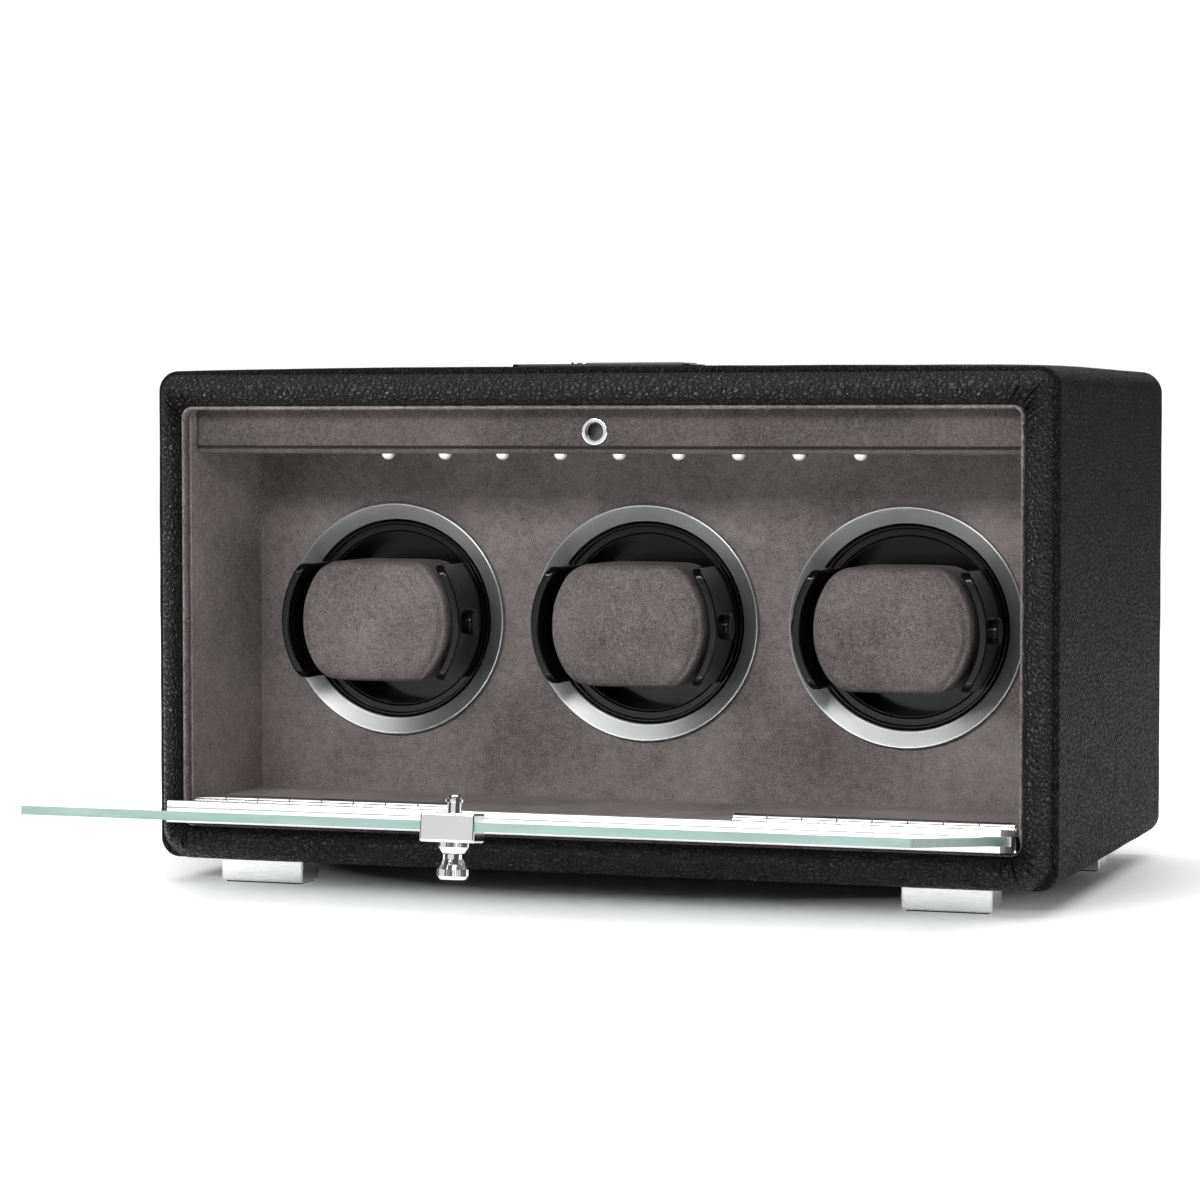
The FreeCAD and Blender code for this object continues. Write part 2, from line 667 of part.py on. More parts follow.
def case_hinge_leaves():
    """The leaves screwed to the sill."""
    y = (HINGE_Y - LEAF_T, HINGE_Y)
    leaves = []
    for x in hinge_places():
        leaf = hinge_leaf(x, 0, (HINGE_Z - 3.4, HINGE_Z - 1.5), PIN_R, 22.4, HINGE_Z - 3.0, y)
        for start in case_screw_starts():
            leaf = leaf.cut(Part.makeCone(1.7, 0.9, LEAF_T, V(*start), ALONG_Y))
        leaves.append(leaf)
    return leaves


def door_hinge_leaves():
    """The leaves let into the door's channel, made closed and then opened."""
    y = (HINGE_Y - LEAF_T, HINGE_Y)
    leaves = []
    for x in hinge_places():
        leaf = hinge_leaf(x, 1, (HINGE_Z + 1.5, HINGE_Z + 3.2), PIN_R + PIN_PLAY,
                          HINGE_Z + 2.9, HINGE_Z + 8.0, y)
        for start in door_screw_starts():
            leaf = leaf.cut(Part.makeCone(1.7, 0.9, LEAF_T, V(*start), V(0, -1, 0)))
        leaves.append(opened(leaf))
    return leaves


def hinge_pins():
    """The pins that run the length of each hinge."""
    start = -HINGE_LENGTH / 2
    return [rod(ALONG_X, (x + start, HINGE_Y, HINGE_Z), PIN_R, HINGE_LENGTH)
            for x in hinge_places()]


def case_hinge_screws():
    return [screw(ALONG_Y, start, 1.65, 1.0, 0.75, 8) for start in case_screw_starts()]


def door_hinge_screws():
    return [opened(screw(V(0, -1, 0), start, 1.65, 1.0, 0.65, 4.5)) for start in door_screw_starts()]


# ---- latch (made closed; the distance along its axis is t) ------------------------------------
def latch_turned(profile):
    """A turned latch piece from (t, radius) points, t running outwards to smaller values."""
    start = (0, HINGE_Y + profile[0][0], LATCH_Z)
    shifted = [(profile[0][0] - t, radius) for t, radius in profile]
    return revolved(V(0, -1, 0), start, shifted)


def latch_bore(radius, t):
    """A cylinder on the latch's axis between two values of t."""
    return rod_y(0, LATCH_Z, radius, (HINGE_Y + t[0], HINGE_Y + t[1]))


def latch_clamp():
    """The metal block that straddles the pane's free edge."""
    clamp = door_block((-CLAMP_HALF_X, CLAMP_HALF_X), CLAMP_S, CLAMP_T)
    clamp = clamp.makeFillet(0.8, clamp.Edges)
    slot = door_block((-CLAMP_HALF_X, CLAMP_HALF_X), (CLAMP_S[0], GLASS_S[1] + 0.1),
                      (GLASS_T[0] - 0.05, GLASS_T[1] + 0.05))
    return opened(clamp.cut(slot).cut(latch_bore(3.25, CLAMP_T)))


def latch_collar():
    """The flared, knurled collar and its sleeve through clamp and pane."""
    outer = CLAMP_T[0]
    sleeve = latch_turned([(CLAMP_T[1], 3.2), (outer, 3.2)])
    band = knurled(V(0, -1, 0), (0, HINGE_Y + outer, LATCH_Z), 4.95, 1.6, 36)
    flare = latch_turned([(outer - 1.6, 4.95), (outer - 3.6, 3.6)])
    body = sleeve.multiFuse([band, flare])
    body = body.cut(latch_bore(1.15, (outer - 4, CLAMP_T[1])))
    return opened(body.cut(latch_bore(2.3, (-8.0, CLAMP_T[1]))))


def latch_stud():
    """The ringed stud that snaps into the lock socket."""
    inner = CLAMP_T[1]
    stud = latch_turned([(inner + 5.8, 1.6), (inner + 5.3, 2.35), (inner + 4.9, 2.5),
                         (inner + 4.6, 2.5), (inner + 4.4, 3.2), (inner + 3.5, 3.2),
                         (inner + 3.3, 2.5), (inner, 2.5)])
    plug = latch_turned([(inner, 2.25), (-0.9, 2.25)])
    return opened(stud.fuse(plug).cut(latch_bore(1.15, (-1, inner + 6))))


def latch_knob():
    """The bell-shaped pull with its spindle and spring shoulder."""
    base = CLAMP_T[0] - 3.9
    bell = latch_turned([(base, 3.4), (base - 1.6, 3.4), (base - 3.4, 3.9), (base - 5.0, 4.7)])
    rim = knurled(V(0, -1, 0), (0, HINGE_Y + base - 5.0, LATCH_Z), 5.1, 2.2, 36)
    cap = latch_turned([(base - 7.2, 4.8), (base - 7.9, 4.5), (base - 8.3, 3.9)])
    spindle = latch_turned([(CLAMP_T[1] + 4.5, 1.05), (base, 1.05)])
    shoulder = latch_turned([(-1.4, 2.1), (-2.2, 2.1)])
    return opened(bell.multiFuse([rim, cap, spindle, shoulder]).removeSplitter())


def latch_spring():
    """The latch's return spring, drawn as short as it gets when the knob is pulled."""
    coils = 5
    high = -2.2 - LATCH_TRAVEL - 0.15
    pitch = (high + 7.9) / coils
    wire_r = pitch * 0.36
    rings = [Part.makeTorus(1.75, wire_r, V(0, HINGE_Y + high - pitch * (index + 0.5), LATCH_Z),
                            ALONG_Y) for index in range(coils)]
    links = []
    for index in range(coils - 1):
        links.append(rod(ALONG_Y, (1.75, HINGE_Y + high - pitch * (index + 1.5), LATCH_Z),
                         wire_r * 0.8, pitch))
    return opened(rings[0].multiFuse(rings[1:] + links))


# ---- winder units ----------------------------------------------------------------------------
def unit_places():
    middle = (UNIT_COUNT - 1) / 2
    return [(index - middle) * UNIT_PITCH for index in range(UNIT_COUNT)]


def flange_screw_places():
    """Where screws hold a housing's flange, from the unit's axis."""
    return [(45.3 * math.cos(math.radians(angle)), 45.3 * math.sin(math.radians(angle)))
            for angle in (45, 135, 225, 315)]


def post_places():
    return [(POST_PITCH_R * math.cos(math.radians(angle)),
             POST_PITCH_R * math.sin(math.radians(angle))) for angle in POST_ANGLES]


def trim_rings():
    """The metal rings round the three openings, sloping inwards from a bright narrow edge."""
    inner, outer = RING_R
    spigot = HOUSING_R[1]
    profile = [
        (0.6, outer),
        (0.0, outer - 0.6),
        (RING_SLOPE, inner + 0.3),
        (RING_SLOPE + 0.3, inner),
        (HOUSING_Y[0] - RING_Y - 0.1, inner),
        (HOUSING_Y[0] - RING_Y - 0.1, spigot),
        (PANEL_Y[0] - RING_Y, spigot),
        (PANEL_Y[0] - RING_Y, outer),
    ]
    rings = []
    for x in unit_places():
        outline = Part.makePolygon([V(radius, 0, along) for along, radius in profile + profile[:1]])
        ring = Part.Face(outline).revolve(V(0, 0, 0), ALONG_Z, 360)
        ring.Placement = FreeCAD.Placement(V(x, RING_Y, AXIS_Z), FreeCAD.Rotation(ALONG_Z, ALONG_Y))
        rings.append(ring)
    return rings


def housing(x):
    """The fixed cup behind the panel, with its bush boss and the posts of the gear plate."""
    cup = rod_y(x, AXIS_Z, HOUSING_R[1], HOUSING_Y)
    flange = rod_y(x, AXIS_Z, HOUSING_FLANGE_R, (PANEL_Y[1], PANEL_Y[1] + 2.5))
    posts = [rod_y(x + dx, AXIS_Z + dz, POST_R, (HOUSING_Y[1], PLATE_Y[0]))
             for dx, dz in post_places()]
    cup = cup.multiFuse([flange] + posts)
    cup = cup.cut(rod_y(x, AXIS_Z, HOUSING_R[0], (HOUSING_Y[0], HOUSING_Y[1] - 3)))
    boss = rod_y(x, AXIS_Z, 9.0, (96.0, HOUSING_Y[1]))
    cup = cup.fuse(boss).cut(rod_y(x, AXIS_Z, BUSH_R, (96.0, HOUSING_Y[1])))
    for dx, dz in flange_screw_places():
        cup = cup.cut(rod_y(x + dx, AXIS_Z + dz, 1.3, (PANEL_Y[1], PANEL_Y[1] + 2.5)))
    for dx, dz in post_places():
        cup = cup.cut(rod_y(x + dx, AXIS_Z + dz, 1.0, (PLATE_Y[0] - 8, PLATE_Y[0])))
    return cup


def rotor(x):
    """The turning bowl with its two side arms and moulded shaft."""
    outline = [
        (69.6, ROTOR_R - 0.5), (70.1, ROTOR_R), (73.0, ROTOR_R), (73.0, 36.0), (91.0, 36.0),
        (91.0, 7.0), (94.5, 7.0), (94.5, SHAFT_R), (SHAFT_END_Y, SHAFT_R),
    ]
    start = outline[0][0]
    bowl = revolved(ALONG_Y, (x, start, AXIS_Z), [(y - start, radius) for y, radius in outline])
    bowl = bowl.cut(revolved(ALONG_Y, (x, start, AXIS_Z), [(0, 37.0), (0.5, 36.5), (1.6, 36.5),
                                                           (1.6, 34.3), (2.3, 33.6)]))
    arms = tube_y(x, AXIS_Z, ARM_R, (ARM_FRONT_Y, 72.0))
    arms = arms.common(block((x - 50, x + 50), (ARM_FRONT_Y, 80),
                             (AXIS_Z - ARM_HALF_Z, AXIS_Z + ARM_HALF_Z)))
    rounded = []
    for arm in arms.Solids:
        tips = [edge for edge in arm.Edges if edge.BoundBox.YMax < ARM_FRONT_Y + 0.01
                and edge.Length < 6]
        arm = arm.makeFillet(4.0, tips)
        rim = [edge for edge in arm.Edges if edge.BoundBox.YMax < ARM_FRONT_Y + 4.1]
        rounded.append(arm.makeFillet(0.7, rim))
    bosses = []
    for side in (-1, 1):
        stub = rod(V(side, 0, 0), (x + side * 35.0, 52.0, AXIS_Z), 5.0, 3.8)
        tips = [edge for edge in stub.Edges if abs(abs(edge.BoundBox.Center.x - x) - 38.8) < 0.01]
        bosses.append(stub.makeFillet(0.8, tips))
    body = bowl.multiFuse(rounded + bosses)
    return body.cut(rod_y(x, AXIS_Z, BOWL_R, (ARM_FRONT_Y - 1, BOWL_FLOOR_Y))).removeSplitter()


def cushion(x):
    """The soft watch cushion: flat above and below, rounded at both ends."""
    drum = rod_y(x, AXIS_Z, CUSHION_R, CUSHION_Y)
    pad = drum.common(block((x - CUSHION_HALF_X, x + CUSHION_HALF_X), CUSHION_Y,
                            (AXIS_Z - CUSHION_HALF_Z, AXIS_Z + CUSHION_HALF_Z)))
    lengthwise = [edge for edge in pad.Edges
                  if abs(edge.BoundBox.YLength - (CUSHION_Y[1] - CUSHION_Y[0])) < 0.05]
    return pad.makeFillet(3.0, lengthwise)


def spindle_bushes():
    """Plain bearings: one in each housing, one in each gear plate."""
    bushes = []
    for x in unit_places():
        for y in ((96.5, HOUSING_Y[1]), (PLATE_Y[0] - 0.8, PLATE_Y[1] + 0.8)):
            bushes.append(tube_y(x, AXIS_Z, (SHAFT_R + BUSH_PLAY, BUSH_R), y))
    return bushes


def gear_plates():
    """The metal plates that carry the motors and the rear bushes."""
    plates = []
    for x in unit_places():
        plate = rod_y(x, AXIS_Z, PLATE_R, PLATE_Y)
        plate = plate.cut(rod_y(x, AXIS_Z, BUSH_R, PLATE_Y))
        plate = plate.cut(rod_y(x, AXIS_Z - CENTRE_DISTANCE, 4.2, PLATE_Y))
        for dx, dz in post_places():
            plate = plate.cut(rod_y(x + dx, AXIS_Z + dz, 1.2, PLATE_Y))
        for side in (-1, 1):
            plate = plate.cut(rod_y(x + side * 8.5, AXIS_Z - CENTRE_DISTANCE, 1.1, PLATE_Y))
        plates.append(plate)
    return plates


def motor(x):
    """The small gear motor: gearbox can, motor can and terminals."""
    z = AXIS_Z - CENTRE_DISTANCE
    front = PLATE_Y[1]
    gearbox = rod_y(x, z, MOTOR_R, (front, front + 14))
    can = rod_y(x, z, MOTOR_R - 2.5, (front + 14, front + MOTOR_LENGTH))
    nose = rod_y(x, z, 4.0, (front - 2.0, front))
    cap = rod_y(x, z, 4.5, (front + MOTOR_LENGTH, front + MOTOR_LENGTH + 1.5))
    tags = [block((x + side * 6 - 1, x + side * 6 + 1), (front + MOTOR_LENGTH,
                  front + MOTOR_LENGTH + 4), (z - 0.3, z + 0.3)) for side in (-1, 1)]
    body = gearbox.multiFuse([can, nose, cap] + tags)
    body = body.cut(rod_y(x, z, PINION_SHAFT_R + BUSH_PLAY, (front - 2.0, front + 10)))
    for side in (-1, 1):
        body = body.cut(rod_y(x + side * 8.5, z, 0.9, (front, front + 5)))
    return body.removeSplitter()


def housing_screws():
    """Screws that hold the housings to the panel."""
    return [screw(V(0, -1, 0), (x + dx, PANEL_Y[1] + 3.6, AXIS_Z + dz), 2.2, 1.1, 0.85, 7)
            for x in unit_places() for dx, dz in flange_screw_places()]


def plate_screws():
    """Screws that hold the gear plates to their posts and the motors to the plates."""
    screws = []
    for x in unit_places():
        for dx, dz in post_places():
            start = (x + dx, PLATE_Y[1] + 1.1, AXIS_Z + dz)
            screws.append(screw(V(0, -1, 0), start, 2.0, 1.1, 0.95, 9))
        for side in (-1, 1):
            start = (x + side * 8.5, PLATE_Y[0] - 1.0, AXIS_Z - CENTRE_DISTANCE)
            screws.append(screw(ALONG_Y, start, 1.8, 1.0, 0.85, 6))
    return screws


# ---- gears -----------------------------------------------------------------------------------
def involute_half_angle(teeth, radius):
    """Half the angle that a tooth fills at a radius."""
    pitch_r = MODULE * teeth / 2
    base_r = pitch_r * math.cos(math.radians(PRESSURE_DEG))

    def involute(at):
        if at <= base_r:
            return 0.0
        pressure = math.acos(base_r / at)
        return math.tan(pressure) - pressure

    thickness = math.pi * MODULE / 2 - TOOTH_PLAY
    return thickness / (2 * pitch_r) + involute(pitch_r) - involute(radius)


def gear(x, z, teeth, turn_deg):
    """An involute spur gear with a tooth at the given angle."""
    pitch_r = MODULE * teeth / 2
    base_r = pitch_r * math.cos(math.radians(PRESSURE_DEG))
    root_r = pitch_r - 1.25 * MODULE
    tip_r = pitch_r + MODULE
    flank_r = max(base_r, root_r)
    middle_r = (flank_r + tip_r) / 2
    step = 2 * math.pi / teeth

    def at(radius, angle):
        return V(x + radius * math.cos(angle), GEAR_Y[0], z + radius * math.sin(angle))

    edges = []
    for index in range(teeth):
        centre = math.radians(turn_deg) + index * step
        root = involute_half_angle(teeth, flank_r)
        middle = involute_half_angle(teeth, middle_r)
        tip = involute_half_angle(teeth, tip_r)
        if root_r < flank_r:
            edges.append(Part.LineSegment(at(root_r, centre - root), at(flank_r, centre - root)))
        edges.append(Part.Arc(at(flank_r, centre - root), at(middle_r, centre - middle),
                              at(tip_r, centre - tip)))
        edges.append(Part.Arc(at(tip_r, centre - tip), at(tip_r, centre), at(tip_r, centre + tip)))
        edges.append(Part.Arc(at(tip_r, centre + tip), at(middle_r, centre + middle),
                              at(flank_r, centre + root)))
        if root_r < flank_r:
            edges.append(Part.LineSegment(at(flank_r, centre + root), at(root_r, centre + root)))
        edges.append(Part.Arc(at(root_r, centre + root), at(root_r, centre + step / 2),
                              at(root_r, centre + step - root)))
    wire = Part.Wire([edge.toShape() for edge in edges])
    return Part.Face(wire).extrude(V(0, GEAR_Y[1] - GEAR_Y[0], 0))


def driven_gear(x):
    """The large gear pressed on the rotor's shaft, with lightening holes."""
    wheel = gear(x, AXIS_Z, GEAR_TEETH, 0)
    for index in range(6):
        turn = math.radians(60 * index)
        wheel = wheel.cut(rod_y(x + 14 * math.cos(turn), AXIS_Z + 14 * math.sin(turn), 4.5, GEAR_Y))
    hub = rod_y(x, AXIS_Z, 6.0, (GEAR_Y[0] - 1.5, GEAR_Y[1] + 1.5))
    bore = rod_y(x, AXIS_Z, SHAFT_R + 0.01, (GEAR_Y[0] - 2, GEAR_Y[1] + 2))
    return wheel.fuse(hub).cut(bore)


def pinion(x):
    """The motor's pinion and the shaft that it is fixed to."""
    z = AXIS_Z - CENTRE_DISTANCE
    teeth = gear(x, z, PINION_TEETH, 180 / PINION_TEETH)
    shaft = rod_y(x, z, PINION_SHAFT_R, (GEAR_Y[0] - 1, PLATE_Y[1] + 9))
    return teeth.fuse(shaft).removeSplitter()


# ---- the whole object ------------------------------------------------------------------------
def all_nodes():
    """Every node's name and its solid or solids."""
    nodes = {}
    for make in (case_shell, leather_wrap, top_foam, front_bezel, suede_trim, side_linings,
                 floor_lining, header_board, soffit_board, mounting_panel, rear_cover,
                 rear_cover_screws, feet, foot_pads, foot_screws, lock_socket, lock_spring,
                 led_board, leds, control_panel, display_window, mode_button, control_board,
                 dc_jack, door_glass, door_rail, rail_gasket, door_hinge_leaves,
                 case_hinge_leaves, hinge_pins, case_hinge_screws, door_hinge_screws,
                 latch_clamp, latch_collar, latch_stud, latch_knob, latch_spring, trim_rings,
                 spindle_bushes, gear_plates, housing_screws, plate_screws):
        nodes[make.__name__] = make()
    for number, x in enumerate(unit_places(), 1):
        for make in (housing, rotor, cushion, driven_gear, motor, pinion):
            nodes[f"{make.__name__}_{number}"] = make(x)
    return nodes


def main():
    os.makedirs("parts", exist_ok=True)
    shapes = {}
    for name, made in all_nodes().items():
        solids = made if isinstance(made, list) else made.Solids
        shapes[name] = Part.makeCompound(solids) if len(solids) > 1 else solids[0]
    boxes = [shape.optimalBoundingBox() for shape in shapes.values()]
    front = min(box.YMin for box in boxes)
    rear = max(box.YMax for box in boxes)
    shift = -(front + rear) / 2
    for name, shape in shapes.items():
        shape.translate(V(0, shift, 0))
        shape.exportStep(f"parts/{name}.step")
        if not shape.isValid():
            print("not valid:", name)
    print("nodes:", len(shapes))
    print("moved along Y by:", round(shift, 4))
    print("hinge axis y, z:", round(HINGE_Y + shift, 4), HINGE_Z)
    print("rear face y:", round(rear + shift, 4))


main()
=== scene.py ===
"""Looks of the watch winder box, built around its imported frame. Lengths are in metres."""
import json
import math

import bmesh
import bpy
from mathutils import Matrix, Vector, noise


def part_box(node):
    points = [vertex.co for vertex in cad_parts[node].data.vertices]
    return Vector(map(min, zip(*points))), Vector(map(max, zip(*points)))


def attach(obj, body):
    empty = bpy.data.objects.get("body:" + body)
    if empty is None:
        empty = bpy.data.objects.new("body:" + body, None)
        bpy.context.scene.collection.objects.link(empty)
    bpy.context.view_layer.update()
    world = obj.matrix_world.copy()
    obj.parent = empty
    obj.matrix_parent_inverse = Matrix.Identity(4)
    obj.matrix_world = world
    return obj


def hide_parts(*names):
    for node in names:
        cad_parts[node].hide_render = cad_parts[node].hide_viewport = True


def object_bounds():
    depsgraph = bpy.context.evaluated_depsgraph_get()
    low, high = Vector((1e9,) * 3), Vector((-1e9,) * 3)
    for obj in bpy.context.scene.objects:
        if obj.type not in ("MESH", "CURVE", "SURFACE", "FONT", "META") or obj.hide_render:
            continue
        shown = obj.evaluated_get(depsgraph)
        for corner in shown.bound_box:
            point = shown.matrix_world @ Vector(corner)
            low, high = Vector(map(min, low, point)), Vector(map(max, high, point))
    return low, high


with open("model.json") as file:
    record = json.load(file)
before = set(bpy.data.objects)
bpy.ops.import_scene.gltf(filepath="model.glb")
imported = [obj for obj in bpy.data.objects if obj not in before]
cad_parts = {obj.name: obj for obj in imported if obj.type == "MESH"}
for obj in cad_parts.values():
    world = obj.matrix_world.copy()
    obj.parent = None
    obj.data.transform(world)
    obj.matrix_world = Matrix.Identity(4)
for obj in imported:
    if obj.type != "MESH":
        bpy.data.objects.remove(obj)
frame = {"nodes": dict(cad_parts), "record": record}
CAD_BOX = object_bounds()
NODES = frame["nodes"]
MM = 0.001
UNIT_PITCH = 101.6 * MM
AXIS_Z = 97.1 * MM
LAMP_PITCH = 23.0 * MM
LAMP_DROP = 2.2 * MM                    # of a lamp's lens below its seat
LAMP_RADIUS = 2.5 * MM
LIP_HEIGHT = 2.4 * MM                   # of the rolled lip under the header board's seam
OPEN_ANGLE = math.radians(84.1)         # of the door, from closed
SHARP_ANGLE = math.radians(28)          # an edge that turns more than this stays sharp


# ---- places read from the frame --------------------------------------------------------------
def place(node):
    """A node's low and high corners and its middle."""
    low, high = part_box(node)
    return low, high, (low + high) / 2


# ---- materials -------------------------------------------------------------------------------
class Look:
    """A material being built: one Principled shader fed by procedural textures."""

    def __init__(self, name, **settings):
        self.material = bpy.data.materials.new(name)
        self.material.use_nodes = True
        self.tree = self.material.node_tree
        self.tree.nodes.clear()
        self.shader = self.tree.nodes.new("ShaderNodeBsdfPrincipled")
        output = self.tree.nodes.new("ShaderNodeOutputMaterial")
        self.tree.links.new(self.shader.outputs[0], output.inputs["Surface"])
        self.coordinates = self.tree.nodes.new("ShaderNodeTexCoord")
        for key, value in settings.items():
            self.shader.inputs[key.title()].default_value = value

    def add(self, kind, links=None, **values):
        """A node with its inputs set by name, and its linked inputs joined."""
        made = self.tree.nodes.new(kind)
        for key, value in values.items():
            if hasattr(made, key):
                setattr(made, key, value)
            else:
                made.inputs[key.title()].default_value = value
        for key, source in (links or {}).items():
            self.tree.links.new(source, made.inputs[key])
        return made

    def stretched(self, x=1.0, y=1.0, z=1.0):
        """The object's own coordinates, scaled along each axis."""
        made = self.add("ShaderNodeMapping", {"Vector": self.coordinates.outputs["Object"]})
        made.inputs["Scale"].default_value = (x, y, z)
        return made.outputs[0]

    def noise(self, per_metre, detail=4.0, roughness=0.55, vector=None):
        """Cloudy noise with so many features to a metre."""
        source = vector or self.coordinates.outputs["Object"]
        made = self.add("ShaderNodeTexNoise", {"Vector": source}, scale=per_metre, detail=detail,
                        roughness=roughness)
        return made.outputs["Fac"]

    def cells(self, per_metre, vector):
        """The distance to the nearest border between random cells."""
        made = self.add("ShaderNodeTexVoronoi", {"Vector": vector}, feature="DISTANCE_TO_EDGE",
                        scale=per_metre)
        return made.outputs["Distance"]

    def parts(self):
        """The x, y and z of the object's own coordinates."""
        return self.add("ShaderNodeSeparateXYZ", {0: self.coordinates.outputs["Object"]}).outputs

    def minus(self, source, amount):
        """A value less a fixed amount."""
        made = self.add("ShaderNodeMath", {0: source}, operation="SUBTRACT")
        made.inputs[1].default_value = amount
        return made.outputs[0]

    def absolute(self, source):
        return self.add("ShaderNodeMath", {0: source}, operation="ABSOLUTE").outputs[0]

    def repeated(self, source, pitch):
        """A coordinate measured from the nearest of a row of middles, one pitch apart."""
        made = self.add("ShaderNodeMath", {0: source}, operation="WRAP")
        made.inputs[1].default_value = pitch / 2
        made.inputs[2].default_value = -pitch / 2
        return made.outputs[0]

    def span(self, source, low, high, to_low=0.0, to_high=1.0):
        """A value's range moved to another range, clamped."""
        made = self.add("ShaderNodeMapRange", {"Value": source})
        for key, value in (("From Min", low), ("From Max", high), ("To Min", to_low),
                           ("To Max", to_high)):
            made.inputs[key].default_value = value
        return made.outputs[0]

    def sum(self, first, second, share=1.0):
        """The first value plus a share of the second."""
        made = self.add("ShaderNodeMath", operation="MULTIPLY_ADD")
        self.tree.links.new(second, made.inputs[0])
        made.inputs[1].default_value = share
        self.tree.links.new(first, made.inputs[2])
        return made.outputs[0]

    def product(self, first, second):
        """Two values multiplied."""
        made = self.add("ShaderNodeMath", operation="MULTIPLY")
        self.tree.links.new(first, made.inputs[0])
        self.tree.links.new(second, made.inputs[1])
        return made.outputs[0]

    def colours(self, factor, *stops):
        """A colour ramp from (position, colour) stops."""
        made = self.add("ShaderNodeValToRGB", {"Fac": factor})
        ramp = made.color_ramp
        while len(ramp.elements) < len(stops):
            ramp.elements.new(1.0)
        for element, (position, colour) in zip(ramp.elements, stops):
            element.position = position
            element.color = (*colour, 1.0)
        return made.outputs["Color"]

    def feed(self, socket, source):
        """A value or colour joined to the shader."""
        self.tree.links.new(source, self.shader.inputs[socket])

    def bump(self, height, distance, strength=1.0):
        """Relief that follows a height."""
        made = self.add("ShaderNodeBump", {"Height": height}, strength=strength, distance=distance)
        return made.outputs[0]


def leather(name, pebble_per_metre, relief, dark, light, gloss, specular, upright=1.0):
    """Black pebbled leather: rounded grains of uneven size with dull valleys between them; the valleys
    are painted darker as shade and the grain tops painted lighter.
    """
    look = Look(name)
    look.shader.inputs["Specular IOR Level"].default_value = specular
    place_in = look.stretched(1, 1, upright)
    warp = look.add("ShaderNodeTexNoise", {"Vector": place_in}, scale=pebble_per_metre * 0.6,
                    detail=3.0)
    shift = look.add("ShaderNodeVectorMath", {0: warp.outputs["Color"]}, operation="SCALE")
    shift.inputs["Scale"].default_value = 1.5 / pebble_per_metre
    moved = look.add("ShaderNodeVectorMath", {0: place_in, 1: shift.outputs[0]}, operation="ADD")
    grain = look.cells(pebble_per_metre, moved.outputs[0])
    fall = look.span(grain, 0.0, 0.46, 1.0, 0.0)
    dome = look.span(look.product(fall, fall), 0.0, 1.0, 1.0, 0.0)
    fine = look.noise(pebble_per_metre * 2.6, 2.0)
    folds = look.noise(pebble_per_metre * 0.33, 3.0)
    height = look.sum(look.sum(dome, fine, 0.12), folds, 0.9)
    look.feed("Normal", look.bump(height, relief, 1.0))
    wear = look.span(folds, 0.3, 0.7, 0.0, 0.2)
    # Painted shade: the dome darkens the colour in the valleys between the pebbles and lightens their
    # tops; the wear and the fine noise are the leather's own uneven tone.
    tone = look.sum(look.sum(wear, dome, 0.7), fine, 0.2)
    look.feed("Base Color", look.colours(tone, (0.3, dark), (1.0, light)))
    look.feed("Roughness", look.span(look.sum(dome, folds, 0.5), 0.3, 1.1, 0.8, gloss))
    return look.material


SUEDE_DARK = (0.066, 0.0575, 0.0565)
SUEDE_LIGHT = (0.262, 0.236, 0.233)


def suede(name, tone, fibre_per_metre=1900, seam_z=None):
    """Napped suede: fibre speckle, brushed patches and a velvety sheen; tone scales its colour.

    A seam at a height gets a thin dark line of painted shade along its groove.
    """
    dark = tuple(part * tone for part in SUEDE_DARK)
    light = tuple(part * tone for part in SUEDE_LIGHT)
    look = Look(name, roughness=0.95)
    look.shader.inputs["Sheen Weight"].default_value = 0.12
    look.shader.inputs["Sheen Roughness"].default_value = 0.4
    look.shader.inputs["Sheen Tint"].default_value = (*light, 1.0)
    look.shader.inputs["Specular IOR Level"].default_value = 0.1
    patches = look.noise(17, 7.0, 0.62)
    mottle = look.noise(330, 5.0, 0.8)
    fibres = look.noise(fibre_per_metre, 3.0, 0.75)
    blend = look.sum(look.span(patches, 0.3, 0.7, 0.0, 0.36), look.span(mottle, 0.35, 0.65), 0.2)
    blend = look.sum(blend, look.span(fibres, 0.35, 0.65), 0.46)
    if seam_z is not None:
        # Painted shade: the colour darkens in a thin line along the seam's groove.
        away = look.absolute(look.minus(look.parts()["Z"], seam_z))
        blend = look.sum(blend, look.span(away, 0.25 * MM, 0.75 * MM, 1.0, 0.0), -0.6)
    look.feed("Base Color", look.colours(look.span(blend, 0.2, 0.85), (0.0, dark), (1.0, light)))
    nap = look.sum(look.sum(fibres, mottle, 1.8), patches, 2.0)
    look.feed("Normal", look.bump(nap, 0.0006, 1.0))
    return look.material


def metal(name, colour, roughness, scratches, along=(1, 1, 1), depth=0.000002):
    """Metal with fine drawn or polished marks that vary its gloss."""
    look = Look(name, metallic=1.0)
    marks = look.noise(scratches, 3.0, 0.55, look.stretched(*along))
    cloud = look.noise(45, 2.0)
    look.feed("Roughness", look.span(look.sum(marks, cloud, 0.5), 0.4, 1.1, roughness * 0.85,
                                     roughness * 1.2))
    darker = tuple(0.93 * part for part in colour)
    look.feed("Base Color", look.colours(cloud, (0.3, darker), (0.7, colour)))
    look.feed("Normal", look.bump(marks, depth, 0.4))
    return look.material


